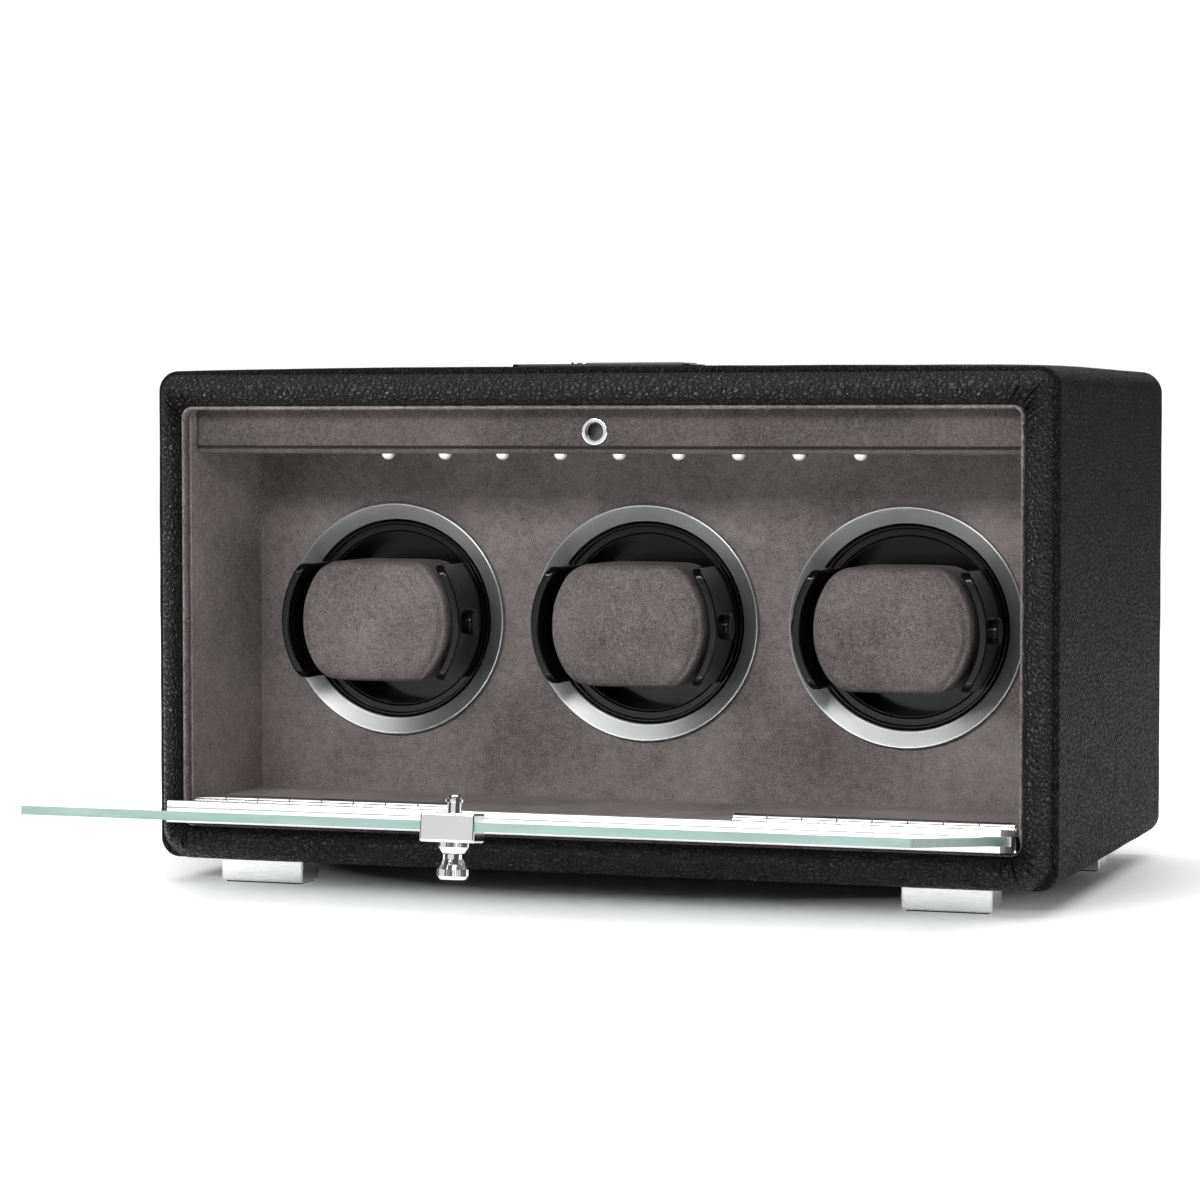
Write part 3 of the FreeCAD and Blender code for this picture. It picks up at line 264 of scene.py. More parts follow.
def turned_metal(name, colour, roughness, pitch, axis_z):
    """Metal turned on a lathe: round marks spread its highlights outwards from each ring's middle."""
    look = Look(name, metallic=1.0)
    look.shader.inputs["Anisotropic"].default_value = 0.85
    parts = look.parts()
    outward = look.add("ShaderNodeCombineXYZ", {"X": look.repeated(parts["X"], pitch),
                                                "Z": look.minus(parts["Z"], axis_z)})
    unit = look.add("ShaderNodeVectorMath", {0: outward.outputs[0]}, operation="NORMALIZE")
    look.feed("Tangent", unit.outputs[0])
    out = look.add("ShaderNodeVectorMath", {0: outward.outputs[0]}, operation="LENGTH")
    grooves = look.add("ShaderNodeTexNoise", {"W": out.outputs["Value"]}, noise_dimensions="1D",
                       scale=2600, detail=2.0)
    cloud = look.noise(40, 2.0)
    look.feed("Roughness", look.span(grooves.outputs["Fac"], 0.3, 0.7, roughness * 0.85,
                                     roughness * 1.15))
    darker = tuple(0.88 * part for part in colour)
    look.feed("Base Color", look.colours(look.sum(cloud, grooves.outputs["Fac"], 0.3),
                                         (0.4, darker), (0.8, colour)))
    return look.material


def plastic(name, colour, roughness, texture_per_metre, relief, specular=0.5):
    """Moulded plastic: a faint surface texture and slightly uneven gloss."""
    look = Look(name)
    look.shader.inputs["Specular IOR Level"].default_value = specular
    texture = look.noise(texture_per_metre, 3.0)
    wave = look.noise(14, 2.0)
    look.feed("Roughness", look.span(look.sum(texture, wave, 0.8), 0.5, 1.3, roughness * 0.8,
                                     roughness * 1.25))
    lighter = tuple(1.25 * part for part in colour)
    look.feed("Base Color", look.colours(wave, (0.3, colour), (0.75, lighter)))
    look.feed("Normal", look.bump(texture, relief, 0.5))
    return look.material


def pane_glass(open_angle):
    """Clear float glass: its ground edges are mint green and satin, its faces are clear."""
    look = Look("pane_glass")
    across = look.add("ShaderNodeVectorMath", {0: look.coordinates.outputs["Normal"]},
                      operation="DOT_PRODUCT")
    across.inputs[1].default_value = (0.0, math.cos(open_angle), math.sin(open_angle))
    edge = look.span(look.absolute(across.outputs["Value"]), 0.75, 0.95, 1.0, 0.0)
    streak = look.noise(240, 3.0, 0.6, look.stretched(0.12, 1, 1))
    tint = look.sum(look.span(streak, 0.3, 0.7, 0.0, 0.4), edge, 0.6)
    look.feed("Base Color", look.colours(tint, (0.0, (0.95, 0.985, 0.975)),
                                         (0.4, (0.93, 0.98, 0.965)), (0.6, (0.17, 0.26, 0.235)),
                                         (1.0, (0.24, 0.34, 0.31))))
    look.feed("Transmission Weight", look.span(edge, 0.0, 1.0, 1.0, 0.1))
    smear = look.noise(30, 4.0)
    look.feed("Roughness", look.sum(look.span(smear, 0.45, 0.9, 0.0, 0.04), edge, 0.35))
    return look.material


def lamp_glow(tip, length, pitch, radius):
    """Lit lamps in a row: each lens is brightest above its middle and fades outwards and down."""
    look = Look("lamp_glow", roughness=0.3)
    look.shader.inputs["Base Color"].default_value = (0.30, 0.30, 0.29, 1.0)
    die = look.noise(700, 2.0)
    look.feed("Emission Color", look.colours(die, (0.2, (1.0, 0.97, 0.90)),
                                             (0.8, (0.95, 0.98, 1.0))))
    parts = look.parts()
    aside = look.absolute(look.repeated(parts["X"], pitch))
    middle = look.span(aside, radius * 0.3, radius, 1.0, 0.08)
    glow = look.product(look.span(parts["Z"], tip, tip + length, 0.1, 1.5), middle)
    look.feed("Emission Strength", glow)
    return look.material


def raw_board():
    """Raw fibreboard with fine fibres."""
    look = Look("raw_board", roughness=0.85)
    fibres = look.noise(900, 5.0, 0.7, look.stretched(0.5, 1, 1))
    patches = look.noise(30, 3.0)
    tone = look.sum(fibres, patches, 0.5)
    look.feed("Base Color", look.colours(tone, (0.3, (0.17, 0.11, 0.065)),
                                         (1.0, (0.36, 0.26, 0.16))))
    look.feed("Normal", look.bump(fibres, 0.0001, 0.6))
    return look.material


def make_materials():
    """Every material, by the record's slot name."""
    return {
        "black_leather": leather("bezel_leather", 500, 0.0006, (0.0006, 0.0006, 0.0006),
                                 (0.012, 0.0118, 0.0116), 0.17, 0.29),
        "side_leather": leather("side_leather", 900, 0.0004, (0.0012, 0.0012, 0.0012),
                                (0.014, 0.014, 0.014), 0.42, 0.08, 0.55),
        "carcass_board": raw_board(),
        "pad_foam": plastic("pad_foam", (0.60, 0.57, 0.45), 0.9, 900, 0.0003),
        "taupe_suede": suede("taupe_suede", 1.08),
        # The side walls' and the floor's suede is the taupe suede painted lighter, as painted light.
        "wall_suede_painted_lighter": suede("wall_suede_painted_lighter", 2.0),
        "floor_suede_painted_lighter": suede("floor_suede_painted_lighter", 1.6),
        # The header's suede is the taupe suede painted darker, as painted shade.
        "header_suede": suede("header_suede", 0.56,
                              seam_z=place("header_board")[0].z + LIP_HEIGHT),
        "cushion_suede": suede("cushion_suede", 0.95),
        "trim_suede": suede("trim_suede", 1.2, 1000),
        "rear_board": plastic("rear_board", (0.013, 0.013, 0.0135), 0.55, 1800, 0.00012),
        "steel": metal("steel", (0.58, 0.58, 0.59), 0.3, 900),
        "polished_aluminium": metal("polished_aluminium", (0.80, 0.80, 0.805), 0.26, 1200,
                                    (0.06, 1, 1)),
        "satin_aluminium": metal("satin_aluminium", (0.90, 0.90, 0.905), 0.36, 1500, (0.03, 1, 1)),
        "black_felt": suede("black_felt", 0.08),
        "chrome": metal("chrome", (0.86, 0.86, 0.87), 0.07, 700),
        "hinge_nickel": metal("hinge_nickel", (0.84, 0.83, 0.82), 0.16, 1400, (0.05, 1, 1)),
        "circuit_board": plastic("circuit_board", (0.012, 0.10, 0.045), 0.35, 900, 0.00004),
        "lamp_lens": lamp_glow(place("leds")[0].z, LAMP_DROP, LAMP_PITCH, LAMP_RADIUS),
        "gloss_black": plastic("gloss_black", (0.0025, 0.0025, 0.0027), 0.16, 500, 0.000004, 0.2),
        "display_lens": plastic("display_lens", (0.010, 0.011, 0.013), 0.06, 300, 0.000002),
        # Dull dark metal painted into the lock socket's bore as shade.
        "bore_painted_shade": metal("bore_painted_shade", (0.06, 0.06, 0.06), 0.35, 900),
        "clear_glass": pane_glass(OPEN_ANGLE),
        "clear_seal": plastic("clear_seal", (0.70, 0.74, 0.73), 0.3, 700, 0.00003),
        "ring_metal": turned_metal("ring_metal", (0.40, 0.403, 0.406), 0.36, UNIT_PITCH, AXIS_Z),
        "black_plastic": plastic("black_plastic", (0.012, 0.012, 0.012), 0.42, 1600, 0.00006),
        "white_nylon": plastic("white_nylon", (0.66, 0.65, 0.60), 0.45, 1200, 0.00005),
        "bronze": metal("bronze", (0.62, 0.38, 0.17), 0.28, 1000),
        "motor_can": metal("motor_can", (0.62, 0.62, 0.62), 0.32, 900),
    }


# ---- mesh helpers ----------------------------------------------------------------------------
def piece(name, points, faces, material, body, replaced):
    """A mesh object that rides on a body and stands for a CAD node."""
    mesh = bpy.data.meshes.new(name)
    mesh.from_pydata([tuple(point) for point in points], [], faces)
    made = bpy.data.objects.new(name, mesh)
    bpy.context.scene.collection.objects.link(made)
    tidy_normals(mesh)
    mesh.materials.append(MATERIALS[material])
    for polygon in mesh.polygons:
        polygon.use_smooth = True
    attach(made, body)
    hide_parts(replaced)
    return made


def tidy_normals(mesh):
    """Doubled points joined, and every face turned outwards."""
    work = bmesh.new()
    work.from_mesh(mesh)
    bmesh.ops.remove_doubles(work, verts=work.verts, dist=1e-7)
    bmesh.ops.recalc_face_normals(work, faces=work.faces)
    work.to_mesh(mesh)
    work.free()


def strip_faces(rows, count, close_rows=False):
    """Quads between rows of points; every row is a closed loop of the same count."""
    faces = []
    for row in range(rows if close_rows else rows - 1):
        after = (row + 1) % rows
        for index in range(count):
            step = (index + 1) % count
            faces.append((row * count + index, row * count + step, after * count + step,
                          after * count + index))
    return faces


def outline(half_x, low, high, radii, corner_steps, side_steps):
    """(x, z) points round a rounded rectangle, from the bottom right corner, anticlockwise.

    radii are (bottom, top), side_steps are (upright, level). The count of points depends only on
    the steps, so two outlines of the same steps match point for point.
    """
    bottom_r, top_r = radii
    upright, level = side_steps
    corners = [
        (half_x - bottom_r, low + bottom_r, bottom_r, -90, upright),
        (half_x - top_r, high - top_r, top_r, 0, level),
        (top_r - half_x, high - top_r, top_r, 90, upright),
        (bottom_r - half_x, low + bottom_r, bottom_r, 180, level),
    ]
    points = []
    for index, (x, z, radius, start, steps) in enumerate(corners):
        for step in range(corner_steps + 1):
            turn = math.radians(start + 90 * step / corner_steps)
            points.append((x + radius * math.cos(turn), z + radius * math.sin(turn)))
        next_x, next_z, next_r, next_start, _ = corners[(index + 1) % 4]
        turn = math.radians(next_start)
        end = (next_x + next_r * math.cos(turn), next_z + next_r * math.sin(turn))
        begin = points[-1]
        for step in range(1, steps):
            share = crowded(step / steps)
            points.append((begin[0] + (end[0] - begin[0]) * share,
                           begin[1] + (end[1] - begin[1]) * share))
    return points


def crowded(share):
    """A share of a side's length, with steps that crowd towards its two ends."""
    return 0.45 * share + 0.55 * (0.5 - 0.5 * math.cos(math.pi * share))


def axis_steps(low, high, radius, spacing):
    """Positions along one side of a box, close together in the rounded ends."""
    ends = [radius * (1 - math.cos(math.pi / 2 * step / 5)) for step in range(5)]
    flat = high - low - 2 * radius
    count = max(1, round(flat / spacing))
    middle = [low + radius + flat * step / count for step in range(count + 1)]
    return [low + end for end in ends] + middle + [high - end for end in reversed(ends)]


def pulled_round(raw, low, high, radius):
    """A point of a box's grid, pulled in to the box's rounded edges."""
    inner = Vector([min(max(raw[axis], low[axis] + radius), high[axis] - radius)
                    for axis in range(3)])
    away = raw - inner
    return inner + away.normalized() * radius if away.length > 0 else raw


def cell_keys(axis, side, i, j):
    """The grid steps of a cell's four corners, on one side of a box."""
    keys = []
    for a, b in ((i, j), (i + 1, j), (i + 1, j + 1), (i, j + 1)):
        key = [a, b]
        key.insert(axis, side)
        keys.append(tuple(key))
    return keys


def box_cells(counts):
    """Every cell on the six sides of a grid with so many steps along each axis."""
    for axis in range(3):
        across, along = [counts[other] for other in range(3) if other != axis]
        for side in (0, counts[axis]):
            for i in range(across):
                for j in range(along):
                    yield cell_keys(axis, side, i, j)


def soft_box(low, high, radius, spacing):
    """Points and faces of a box with rounded edges, on a fine grid."""
    steps = [axis_steps(low[axis], high[axis], radius, spacing) for axis in range(3)]
    index_of = {}
    points = []
    faces = []
    for keys in box_cells([len(places) - 1 for places in steps]):
        for key in keys:
            if key not in index_of:
                raw = Vector([steps[axis][step] for axis, step in enumerate(key)])
                index_of[key] = len(points)
                points.append(pulled_round(raw, low, high, radius))
        faces.append([index_of[key] for key in keys])
    return points, faces


def drill(made, centre, radius, depth):
    """A round hole along Y through a piece."""
    bpy.ops.mesh.primitive_cylinder_add(vertices=64, radius=radius, depth=depth, location=centre,
                                        rotation=(math.pi / 2, 0, 0))
    subtract(made, bpy.context.active_object)


def subtract(made, cutter):
    """One mesh taken away from another."""
    cut = made.modifiers.new("cut", "BOOLEAN")
    cut.object = cutter
    cut.operation = "DIFFERENCE"
    cut.solver = "EXACT"
    apply_modifiers(made)
    bpy.data.objects.remove(cutter)


def apply_modifiers(made):
    """The piece's modifiers worked into its mesh."""
    graph = bpy.context.evaluated_depsgraph_get()
    mesh = bpy.data.meshes.new_from_object(made.evaluated_get(graph))
    made.modifiers.clear()
    made.data = mesh


def ripple(point, per_metre, seed=0.0):
    """Smooth noise from -1 to 1 at a point."""
    return noise.noise(Vector(point) * per_metre + Vector((seed, seed * 0.7, -seed)))


# ---- leather front frame ---------------------------------------------------------------------
BEZEL_STRIP = {"side": 10.0 * MM, "top": 12.1 * MM, "bottom": 12.7 * MM}
BEZEL_RADII = (11.0 * MM, 5.5 * MM)     # bottom and top corners
OPENING_R = 4.0 * MM
BEZEL_STEPS = {"corner_steps": 64, "side_steps": (300, 460)}
ROLL_STEPS = 30                         # from the roll's outer edge to its lip
ROLL_SQUARENESS = 2.05                  # 2 is an ellipse
CREST_SHIFT = 0.62                      # under 1 moves the crest towards the opening
PAD_UNEVENNESS = 0.22 * MM
CREASE_REACH = 15.0 * MM
CREASE_DEPTH = 1.15 * MM
FOLD_PITCHES = (2.3 * MM, 1.37 * MM)    # deep folds and the finer ones between them


def front_bezel():
    """The padded roll of leather, gathered into creases at its four corners."""
    low, high, _ = place("front_bezel")
    outer = outline(high.x, low.z, high.z, BEZEL_RADII, **BEZEL_STEPS)
    inner = outline(high.x - BEZEL_STRIP["side"], low.z + BEZEL_STRIP["bottom"],
                    high.z - BEZEL_STRIP["top"], (OPENING_R, OPENING_R), **BEZEL_STEPS)
    from_corner = along_from_corners(outer, inner)
    points = []
    for step in range(ROLL_STEPS + 1):
        turn = math.pi * step / ROLL_STEPS
        across = math.copysign(abs(math.cos(turn)) ** (2 / ROLL_SQUARENESS), math.cos(turn))
        lift = max(0.0, math.sin(turn)) ** (2 / ROLL_SQUARENESS)
        share = ((1 - across) / 2) ** CREST_SHIFT
        for index, (edge, lip) in enumerate(zip(outer, inner)):
            x = edge[0] + (lip[0] - edge[0]) * share
            z = edge[1] + (lip[1] - edge[1]) * share
            y = high.y + (low.y - high.y) * lift
            sink = crease(from_corner[index], share) * lift
            pad = PAD_UNEVENNESS * ripple((x, y, z), 120) * lift
            points.append((x, y + sink + pad, z))
    faces = strip_faces(ROLL_STEPS + 1, len(outer), close_rows=True)
    piece("front_bezel_leather", points, faces, "black_leather", "case",
          "front_bezel")


def along_from_corners(outer, inner):
    """For each pair of points round the frame, how far along it they are from a corner's diagonal."""
    middle = [Vector(((a[0] + b[0]) / 2, (a[1] + b[1]) / 2)) for a, b in zip(outer, inner)]
    reach = max(point.x for point in middle)
    high = max(point.y for point in middle)
    low = min(point.y for point in middle)
    distances = []
    for point in middle:
        upper = point.y > (low + high) / 2
        corner = Vector((math.copysign(reach, point.x), high if upper else low))
        offset = point - corner
        distances.append(abs(offset.y) - abs(offset.x))
    return distances


def crease(distance, share):
    """How far the leather sinks at a distance from a corner: uneven folds that fade out."""
    fade = math.exp(-((distance / CREASE_REACH) ** 2))
    gather = max(0.0, min(1.0, 1.25 - abs(share - 0.72) * 1.5))
    skew = distance + 1.4 * MM * ripple((distance * 0.4, share * 5 * MM, 0), 380, 3.0)
    deep, fine = (math.sin(2 * math.pi * skew / pitch) for pitch in FOLD_PITCHES)
    folds = deep + 0.7 * fine
    uneven = 0.55 + 0.75 * ripple((distance, 0, share * 7 * MM), 240, 7.0)
    return CREASE_DEPTH * fade * gather * uneven * folds


# ---- leather covering ------------------------------------------------------------------------
COVER_EDGE_Z = 192.2 * MM               # height of its top along the two sides
COVER_CROWN = 1.0 * MM                  # of the padding at the front
COVER_REAR_RISE = 1.3 * MM              # how much higher the padding is at the back
CROWN_GROWS_OVER = 80 * MM
FRONT_FULLNESS = 2.2                    # 2 is an arch, more is flatter
FULLNESS_GAIN = 10
COVER_RADIUS = 7.5 * MM
FRONT_ROLL = 2.4 * MM
FRONT_TURN_IN = 5.6 * MM
REAR_ROLL = 3.4 * MM
TUCK = 1.8 * MM                         # how far its front edge reaches under the front frame
COVER_THICKNESS = 1.4 * MM
FRONT_LIP = 0.3 * MM
WINDOW_GAP = 0.5 * MM
WINDOW_CORNER = 1.5 * MM
WINDOW_LIP = 1.3 * MM
INNER_TOP_DROP = 1.6 * MM
INNER_CORNER = 6 * MM
COVER_STEPS = (12, (70, 130))           # in each corner, and along the upright and level sides
COVER_ROWS = 60                         # along the box, between the two rolled edges
CONTROL_HOLE_GAP = 0.2 * MM
CONTROL_HOLE_DEPTH = 30 * MM


def covering_outline(inset, depth, crowned=True):
    """The covering's outline at a depth, drawn in by an inset; its top is padded.

    The padding is an arch at the front and fuller, nearly flat, towards the back.
    """
    low, high, _ = place("leather_wrap")
    radius = COVER_RADIUS - inset
    points = outline(high.x - inset, low.z + inset, COVER_EDGE_Z - inset, (radius, radius),
                     *COVER_STEPS)
    back = min(1.0, max(0.0, depth / CROWN_GROWS_OVER))
    fullness = FRONT_FULLNESS + FULLNESS_GAIN * back
    crown = COVER_CROWN + COVER_REAR_RISE * back
    shaped = []
    for x, z in points:
        over = z - (COVER_EDGE_Z - COVER_RADIUS)
        if crowned and over > 0:
            rise = crown * (1 - min(1.0, abs(x) / high.x) ** fullness)
            z += rise * min(1.0, over / radius)
        shaped.append((x, z))
    return shaped


def quarter(radius, steps, closing):
    """(depth, inset) pairs round a quarter turn, opening from its end or closing towards it."""
    pairs = []
    for step in range(steps + 1):
        turn = math.pi / 2 * step / steps
        if closing:
            pairs.append((-radius * (1 - math.sin(turn)), radius * (1 - math.cos(turn))))
        else:
            pairs.append((radius * (1 - math.cos(turn)), radius * (1 - math.sin(turn))))
    return pairs


def outer_rows(front_y, rear_y):
    """(y, inset) of each row of points over the outside, from the front roll to the rear one."""
    front = [(front_y + depth, inset) for depth, inset in quarter(FRONT_ROLL, 6, False)]
    rear = [(rear_y + depth, inset) for depth, inset in quarter(REAR_ROLL, 7, True)]
    length = rear[0][0] - front[-1][0]
    middle = [(front[-1][0] + length * step / COVER_ROWS, 0.0) for step in range(1, COVER_ROWS)]
    return front + middle + rear


def softened(x, y, z):
    """A point of the padded leather, moved a little out or in from the box's middle height."""
    soft = 0.18 * MM * ripple((x, y, z), 45, 2.0) + 0.06 * MM * ripple((x, y, z), 160, 8.0)
    away = Vector((x, 0, z - 100 * MM)).normalized() * soft
    return (x + away.x, y, z + away.z)


def rear_window():
    """The outline of the hole that the rear cover fills."""
    low, high, _ = place("rear_cover")
    return outline(high.x + WINDOW_GAP, low.z - WINDOW_GAP, high.z + WINDOW_GAP,
                   (WINDOW_CORNER, WINDOW_CORNER), *COVER_STEPS)


def leather_covering():
    """The leather over sides, top and bottom, rolled in at the front groove and round the back."""
    low, high, _ = place("leather_wrap")
    front_y = low.y - TUCK
    turned_in = covering_outline(FRONT_TURN_IN, 0, False)
    points = [(x, front_y, z) for x, z in turned_in]
    for y, inset in outer_rows(front_y, high.y):
        points += [softened(x, y, z) for x, z in covering_outline(inset, y - front_y)]
    rim = covering_outline(REAR_ROLL, high.y - front_y)
    window = rear_window()
    for share in (0.33, 0.66, 1.0):
        points += [(x + (hole_x - x) * share, high.y, z + (hole_z - z) * share)
                   for (x, z), (hole_x, hole_z) in zip(rim, window)]
    points += [(x, high.y - WINDOW_LIP, z) for x, z in window]
    inner = outline(high.x - COVER_THICKNESS, low.z + COVER_THICKNESS,
                    COVER_EDGE_Z - INNER_TOP_DROP, (INNER_CORNER, INNER_CORNER), *COVER_STEPS)
    points += [(x, high.y - COVER_THICKNESS, z) for x, z in inner]
    points += [(x, front_y + FRONT_LIP, z) for x, z in turned_in]
    faces = strip_faces(len(points) // len(rim), len(rim), close_rows=True)
    made = piece("leather_covering", points, faces, "side_leather", "case",
                 "leather_wrap")
    cut_for_controls(made)


def cut_for_controls(made):
    """The rounded hole in the top leather where the control panel stands."""
    low, high, middle = place("control_panel")
    reach = Vector((high.x - low.x, high.y - low.y, CONTROL_HOLE_DEPTH)) / 2
    reach += Vector((CONTROL_HOLE_GAP, CONTROL_HOLE_GAP, 0))
    centre = Vector((middle.x, middle.y, high.z))
    points, faces = soft_box(centre - reach, centre + reach, 3.0 * MM, 6 * MM)
    mesh = bpy.data.meshes.new("control_hole")
    mesh.from_pydata([tuple(point) for point in points], [], faces)
    tidy_normals(mesh)
    cutter = bpy.data.objects.new("control_hole", mesh)
    bpy.context.scene.collection.objects.link(cutter)
    subtract(made, cutter)


# ---- suede pieces ----------------------------------------------------------------------------
HEADER_EDGE = 1.2 * MM
HEADER_END = 1.0 * MM                   # radius of its two soft ends
HEADER_GAP = 0.8 * MM                   # from the side walls
HEADER_FACE_STEPS = 60
HEADER_STATIONS = 200
SEAM_DEPTH = 1.3 * MM
SEAM_HALF_WIDTH = 0.36 * MM
SOCKET_BORE = 4.25 * MM
SOCKET_BORE_DEPTH = 20 * MM


def header_section(low, high):
    """(y, z) round the header board's section: soft edges, a sewn seam, and a rolled lip under it."""
    front = low.y + HEADER_EDGE
    back = high.y - HEADER_EDGE
    bottom = low.z + HEADER_EDGE
    top = high.z - HEADER_EDGE
    points = []
    for y, z, start in ((front, bottom, 180), (back, bottom, 270), (back, top, 0), (front, top, 90)):
        for step in range(9):
            turn = math.radians(start + 90 * step / 8)
            points.append((y + HEADER_EDGE * math.cos(turn), z + HEADER_EDGE * math.sin(turn)))
    seam = low.z + LIP_HEIGHT
    for step in range(1, HEADER_FACE_STEPS):
        z = top + (bottom - top) * step / HEADER_FACE_STEPS
        groove = SEAM_DEPTH * math.exp(-(((z - seam) / SEAM_HALF_WIDTH) ** 2))
        points.append((low.y + groove, z))
    return points


def header_stations(start, end):
    """Positions along the header board, close together in its soft ends."""
    ends = [HEADER_END * (1 - math.cos(math.pi / 2 * step / 6)) for step in range(7)]
    length = end - start - 2 * HEADER_END
    middle = [start + HEADER_END + length * step / HEADER_STATIONS
              for step in range(1, HEADER_STATIONS)]
    return [start + offset for offset in ends] + middle + [end - offset for offset in reversed(ends)]


def header():
    """The suede-wrapped board over the compartment, with a sewn lip along its lower edge."""
    low, high, middle = place("header_board")
    start = low.x + HEADER_GAP
    end = high.x - HEADER_GAP
    section = header_section(low, high)
    stations = header_stations(start, end)
    points = []
    for x in stations:
        near = min(HEADER_END, x - start, end - x)
        drawn = HEADER_END - math.sqrt(max(0.0, HEADER_END ** 2 - (HEADER_END - near) ** 2))
        for y, z in section:
            swell = 0.22 * MM * ripple((x, y, z), 55, 5.0) + 0.1 * MM * ripple((x, y, z), 300, 9.0)
            away = Vector((0, y - middle.y, z - middle.z)).normalized()
            outward = swell if y < middle.y else 0.0
            points.append((x, y - away.y * drawn + outward, z - away.z * drawn + 0.5 * swell))
    faces = strip_faces(len(stations), len(section))
    faces.append(tuple(range(len(section))))
    faces.append(tuple(range(len(points) - len(section), len(points))))
    made = piece("header_suede", points, faces, "header_suede", "case", "header_board")
    _, _, socket = place("lock_socket")
    drill(made, (0, middle.y, socket.z), SOCKET_BORE, SOCKET_BORE_DEPTH)


TRIM_STEPS = {"corner_steps": 14, "side_steps": (300, 620)}
TRIM_SECTION = 12                       # points round its section
TRIM_INSET = 0.42 * MM                  # of its middle, from the bezel's lip
TRIM_DEPTH = 0.78 * MM                  # half its thickness, from the bezel's lip inwards
TRIM_SETBACK = 1.6 * MM                 # of its middle, from its front
TRIM_WIDTH = 2.7 * MM                   # half its width, front to back
TRIM_THIN = 0.35                        # share of its thickness left on the sill
TRIM_THINS_OVER = 9 * MM


def opening_trim():
    """The narrow fuzzy suede edge round the opening; its sill is thinner, under the open channel."""
    low, high, _ = place("suede_trim")
    bezel_low, _, _ = place("front_bezel")
    sill = bezel_low.z + BEZEL_STRIP["bottom"]
    edge = outline(high.x, sill, high.z, (OPENING_R, OPENING_R), **TRIM_STEPS)
    inner = outline(high.x - OPENING_R, sill + OPENING_R, high.z - OPENING_R, (0.0, 0.0),
                    **TRIM_STEPS)
    points = []
    for (x, z), (inner_x, inner_z) in zip(edge, inner):
        away = Vector((x - inner_x, z - inner_z)).normalized()
        fuzz = 0.3 * MM * ripple((x, 0, z), 900, 1.0) + 0.22 * MM * ripple((x, 0, z), 320, 4.0)
        full = min(1.0, max(TRIM_THIN, (z - sill) / TRIM_THINS_OVER))
        for index in range(TRIM_SECTION):
            turn = 2 * math.pi * index / TRIM_SECTION
            depth = full * (TRIM_INSET + (TRIM_DEPTH + fuzz) * math.cos(turn))
            along_y = TRIM_SETBACK + TRIM_WIDTH * math.sin(turn)
            points.append((x - away.x * depth, low.y + along_y + fuzz, z - away.y * depth))
    faces = strip_faces(len(edge), TRIM_SECTION, close_rows=True)
    piece("opening_trim_suede", points, faces, "trim_suede", "case", "suede_trim")


# ---- rings -----------------------------------------------------------------------------------
RING_PROFILE = [                        # (depth behind the front, radius) in mm, round its section
    (2.2, 44.9), (0.5, 44.9), (0.34, 44.86), (0.19, 44.77), (0.08, 44.64), (0.02, 44.5), (0.0, 44.36),
    (0.03, 44.22), (0.1, 44.12), (0.2, 43.93), (0.7, 43.1), (1.6, 41.6), (2.5, 40.1), (3.0, 39.3),
    (3.12, 39.1), (3.2, 38.9), (3.34, 38.7), (3.55, 38.56), (3.9, 38.5), (5.1, 38.5), (5.1, 40.7),
    (2.2, 40.7),
]
RING_SEGMENTS = 192


def rings():
    """The three metal rings, turned from one profile: a rolled bright edge, a cone, a rolled lip."""
    low, _, _ = place("trim_rings")
    points = []
    faces = []
    for number in (1, 2, 3):
        _, _, centre = place(f"cushion_{number}")
        start = len(points)
        for step in range(RING_SEGMENTS):
            turn = 2 * math.pi * step / RING_SEGMENTS
            across = math.cos(turn) * MM
            up = math.sin(turn) * MM
            points += [(centre.x + radius * across, low.y + depth * MM, AXIS_Z + radius * up)
                       for depth, radius in RING_PROFILE]
        loop = strip_faces(RING_SEGMENTS, len(RING_PROFILE), close_rows=True)
        faces += [tuple(start + index for index in face) for face in loop]
    piece("trim_rings_turned", points, faces, "ring_metal", "case", "trim_rings")


# ---- cushions --------------------------------------------------------------------------------
CUSHION_SHRINK = 1.6 * MM               # before it is filled
CUSHION_SWELL = 2.4 * MM                # the most that filling moves a point
CUSHION_EDGE = 5.5 * MM
CUSHION_GRID = 2.5 * MM
CUSHION_VOXEL = 1.6 * MM
END_RADIUS = 32.4 * MM                  # of the bowl that its ends follow
FILL_FRAMES = 20
SEAM_RADIUS = 28.0 * MM                 # of the two end seams, about the cushion's middle
SEAM_STARTS = 16 * MM                   # to each side of the middle
SEAM_SPREAD = 0.85 * MM
SEAM_SINK = 0.9 * MM
CLOTH_UNEVENNESS = 0.21 * MM
CUSHION_FRONT = 6 * MM                  # how deep its front face and rounded edge reach


def cushion_form(low, high, centre):
    """The cut shape: a block whose two ends follow the bowl, a little small before it is filled."""
    inner_low = low + Vector((1, 1, 1)) * CUSHION_SHRINK
    inner_high = high - Vector((1, 1, 1)) * CUSHION_SHRINK
    points, faces = soft_box(inner_low, inner_high, CUSHION_EDGE, CUSHION_GRID)
    shaped = []
    for point in points:
        height = (point.z - centre.z) / (END_RADIUS - CUSHION_SHRINK)
        reach = math.sqrt(max(0.0, 1 - height * height))
        x = centre.x + (point.x - centre.x) * reach
        shaped.append(Vector((x, point.y, point.z)))
    return shaped, faces


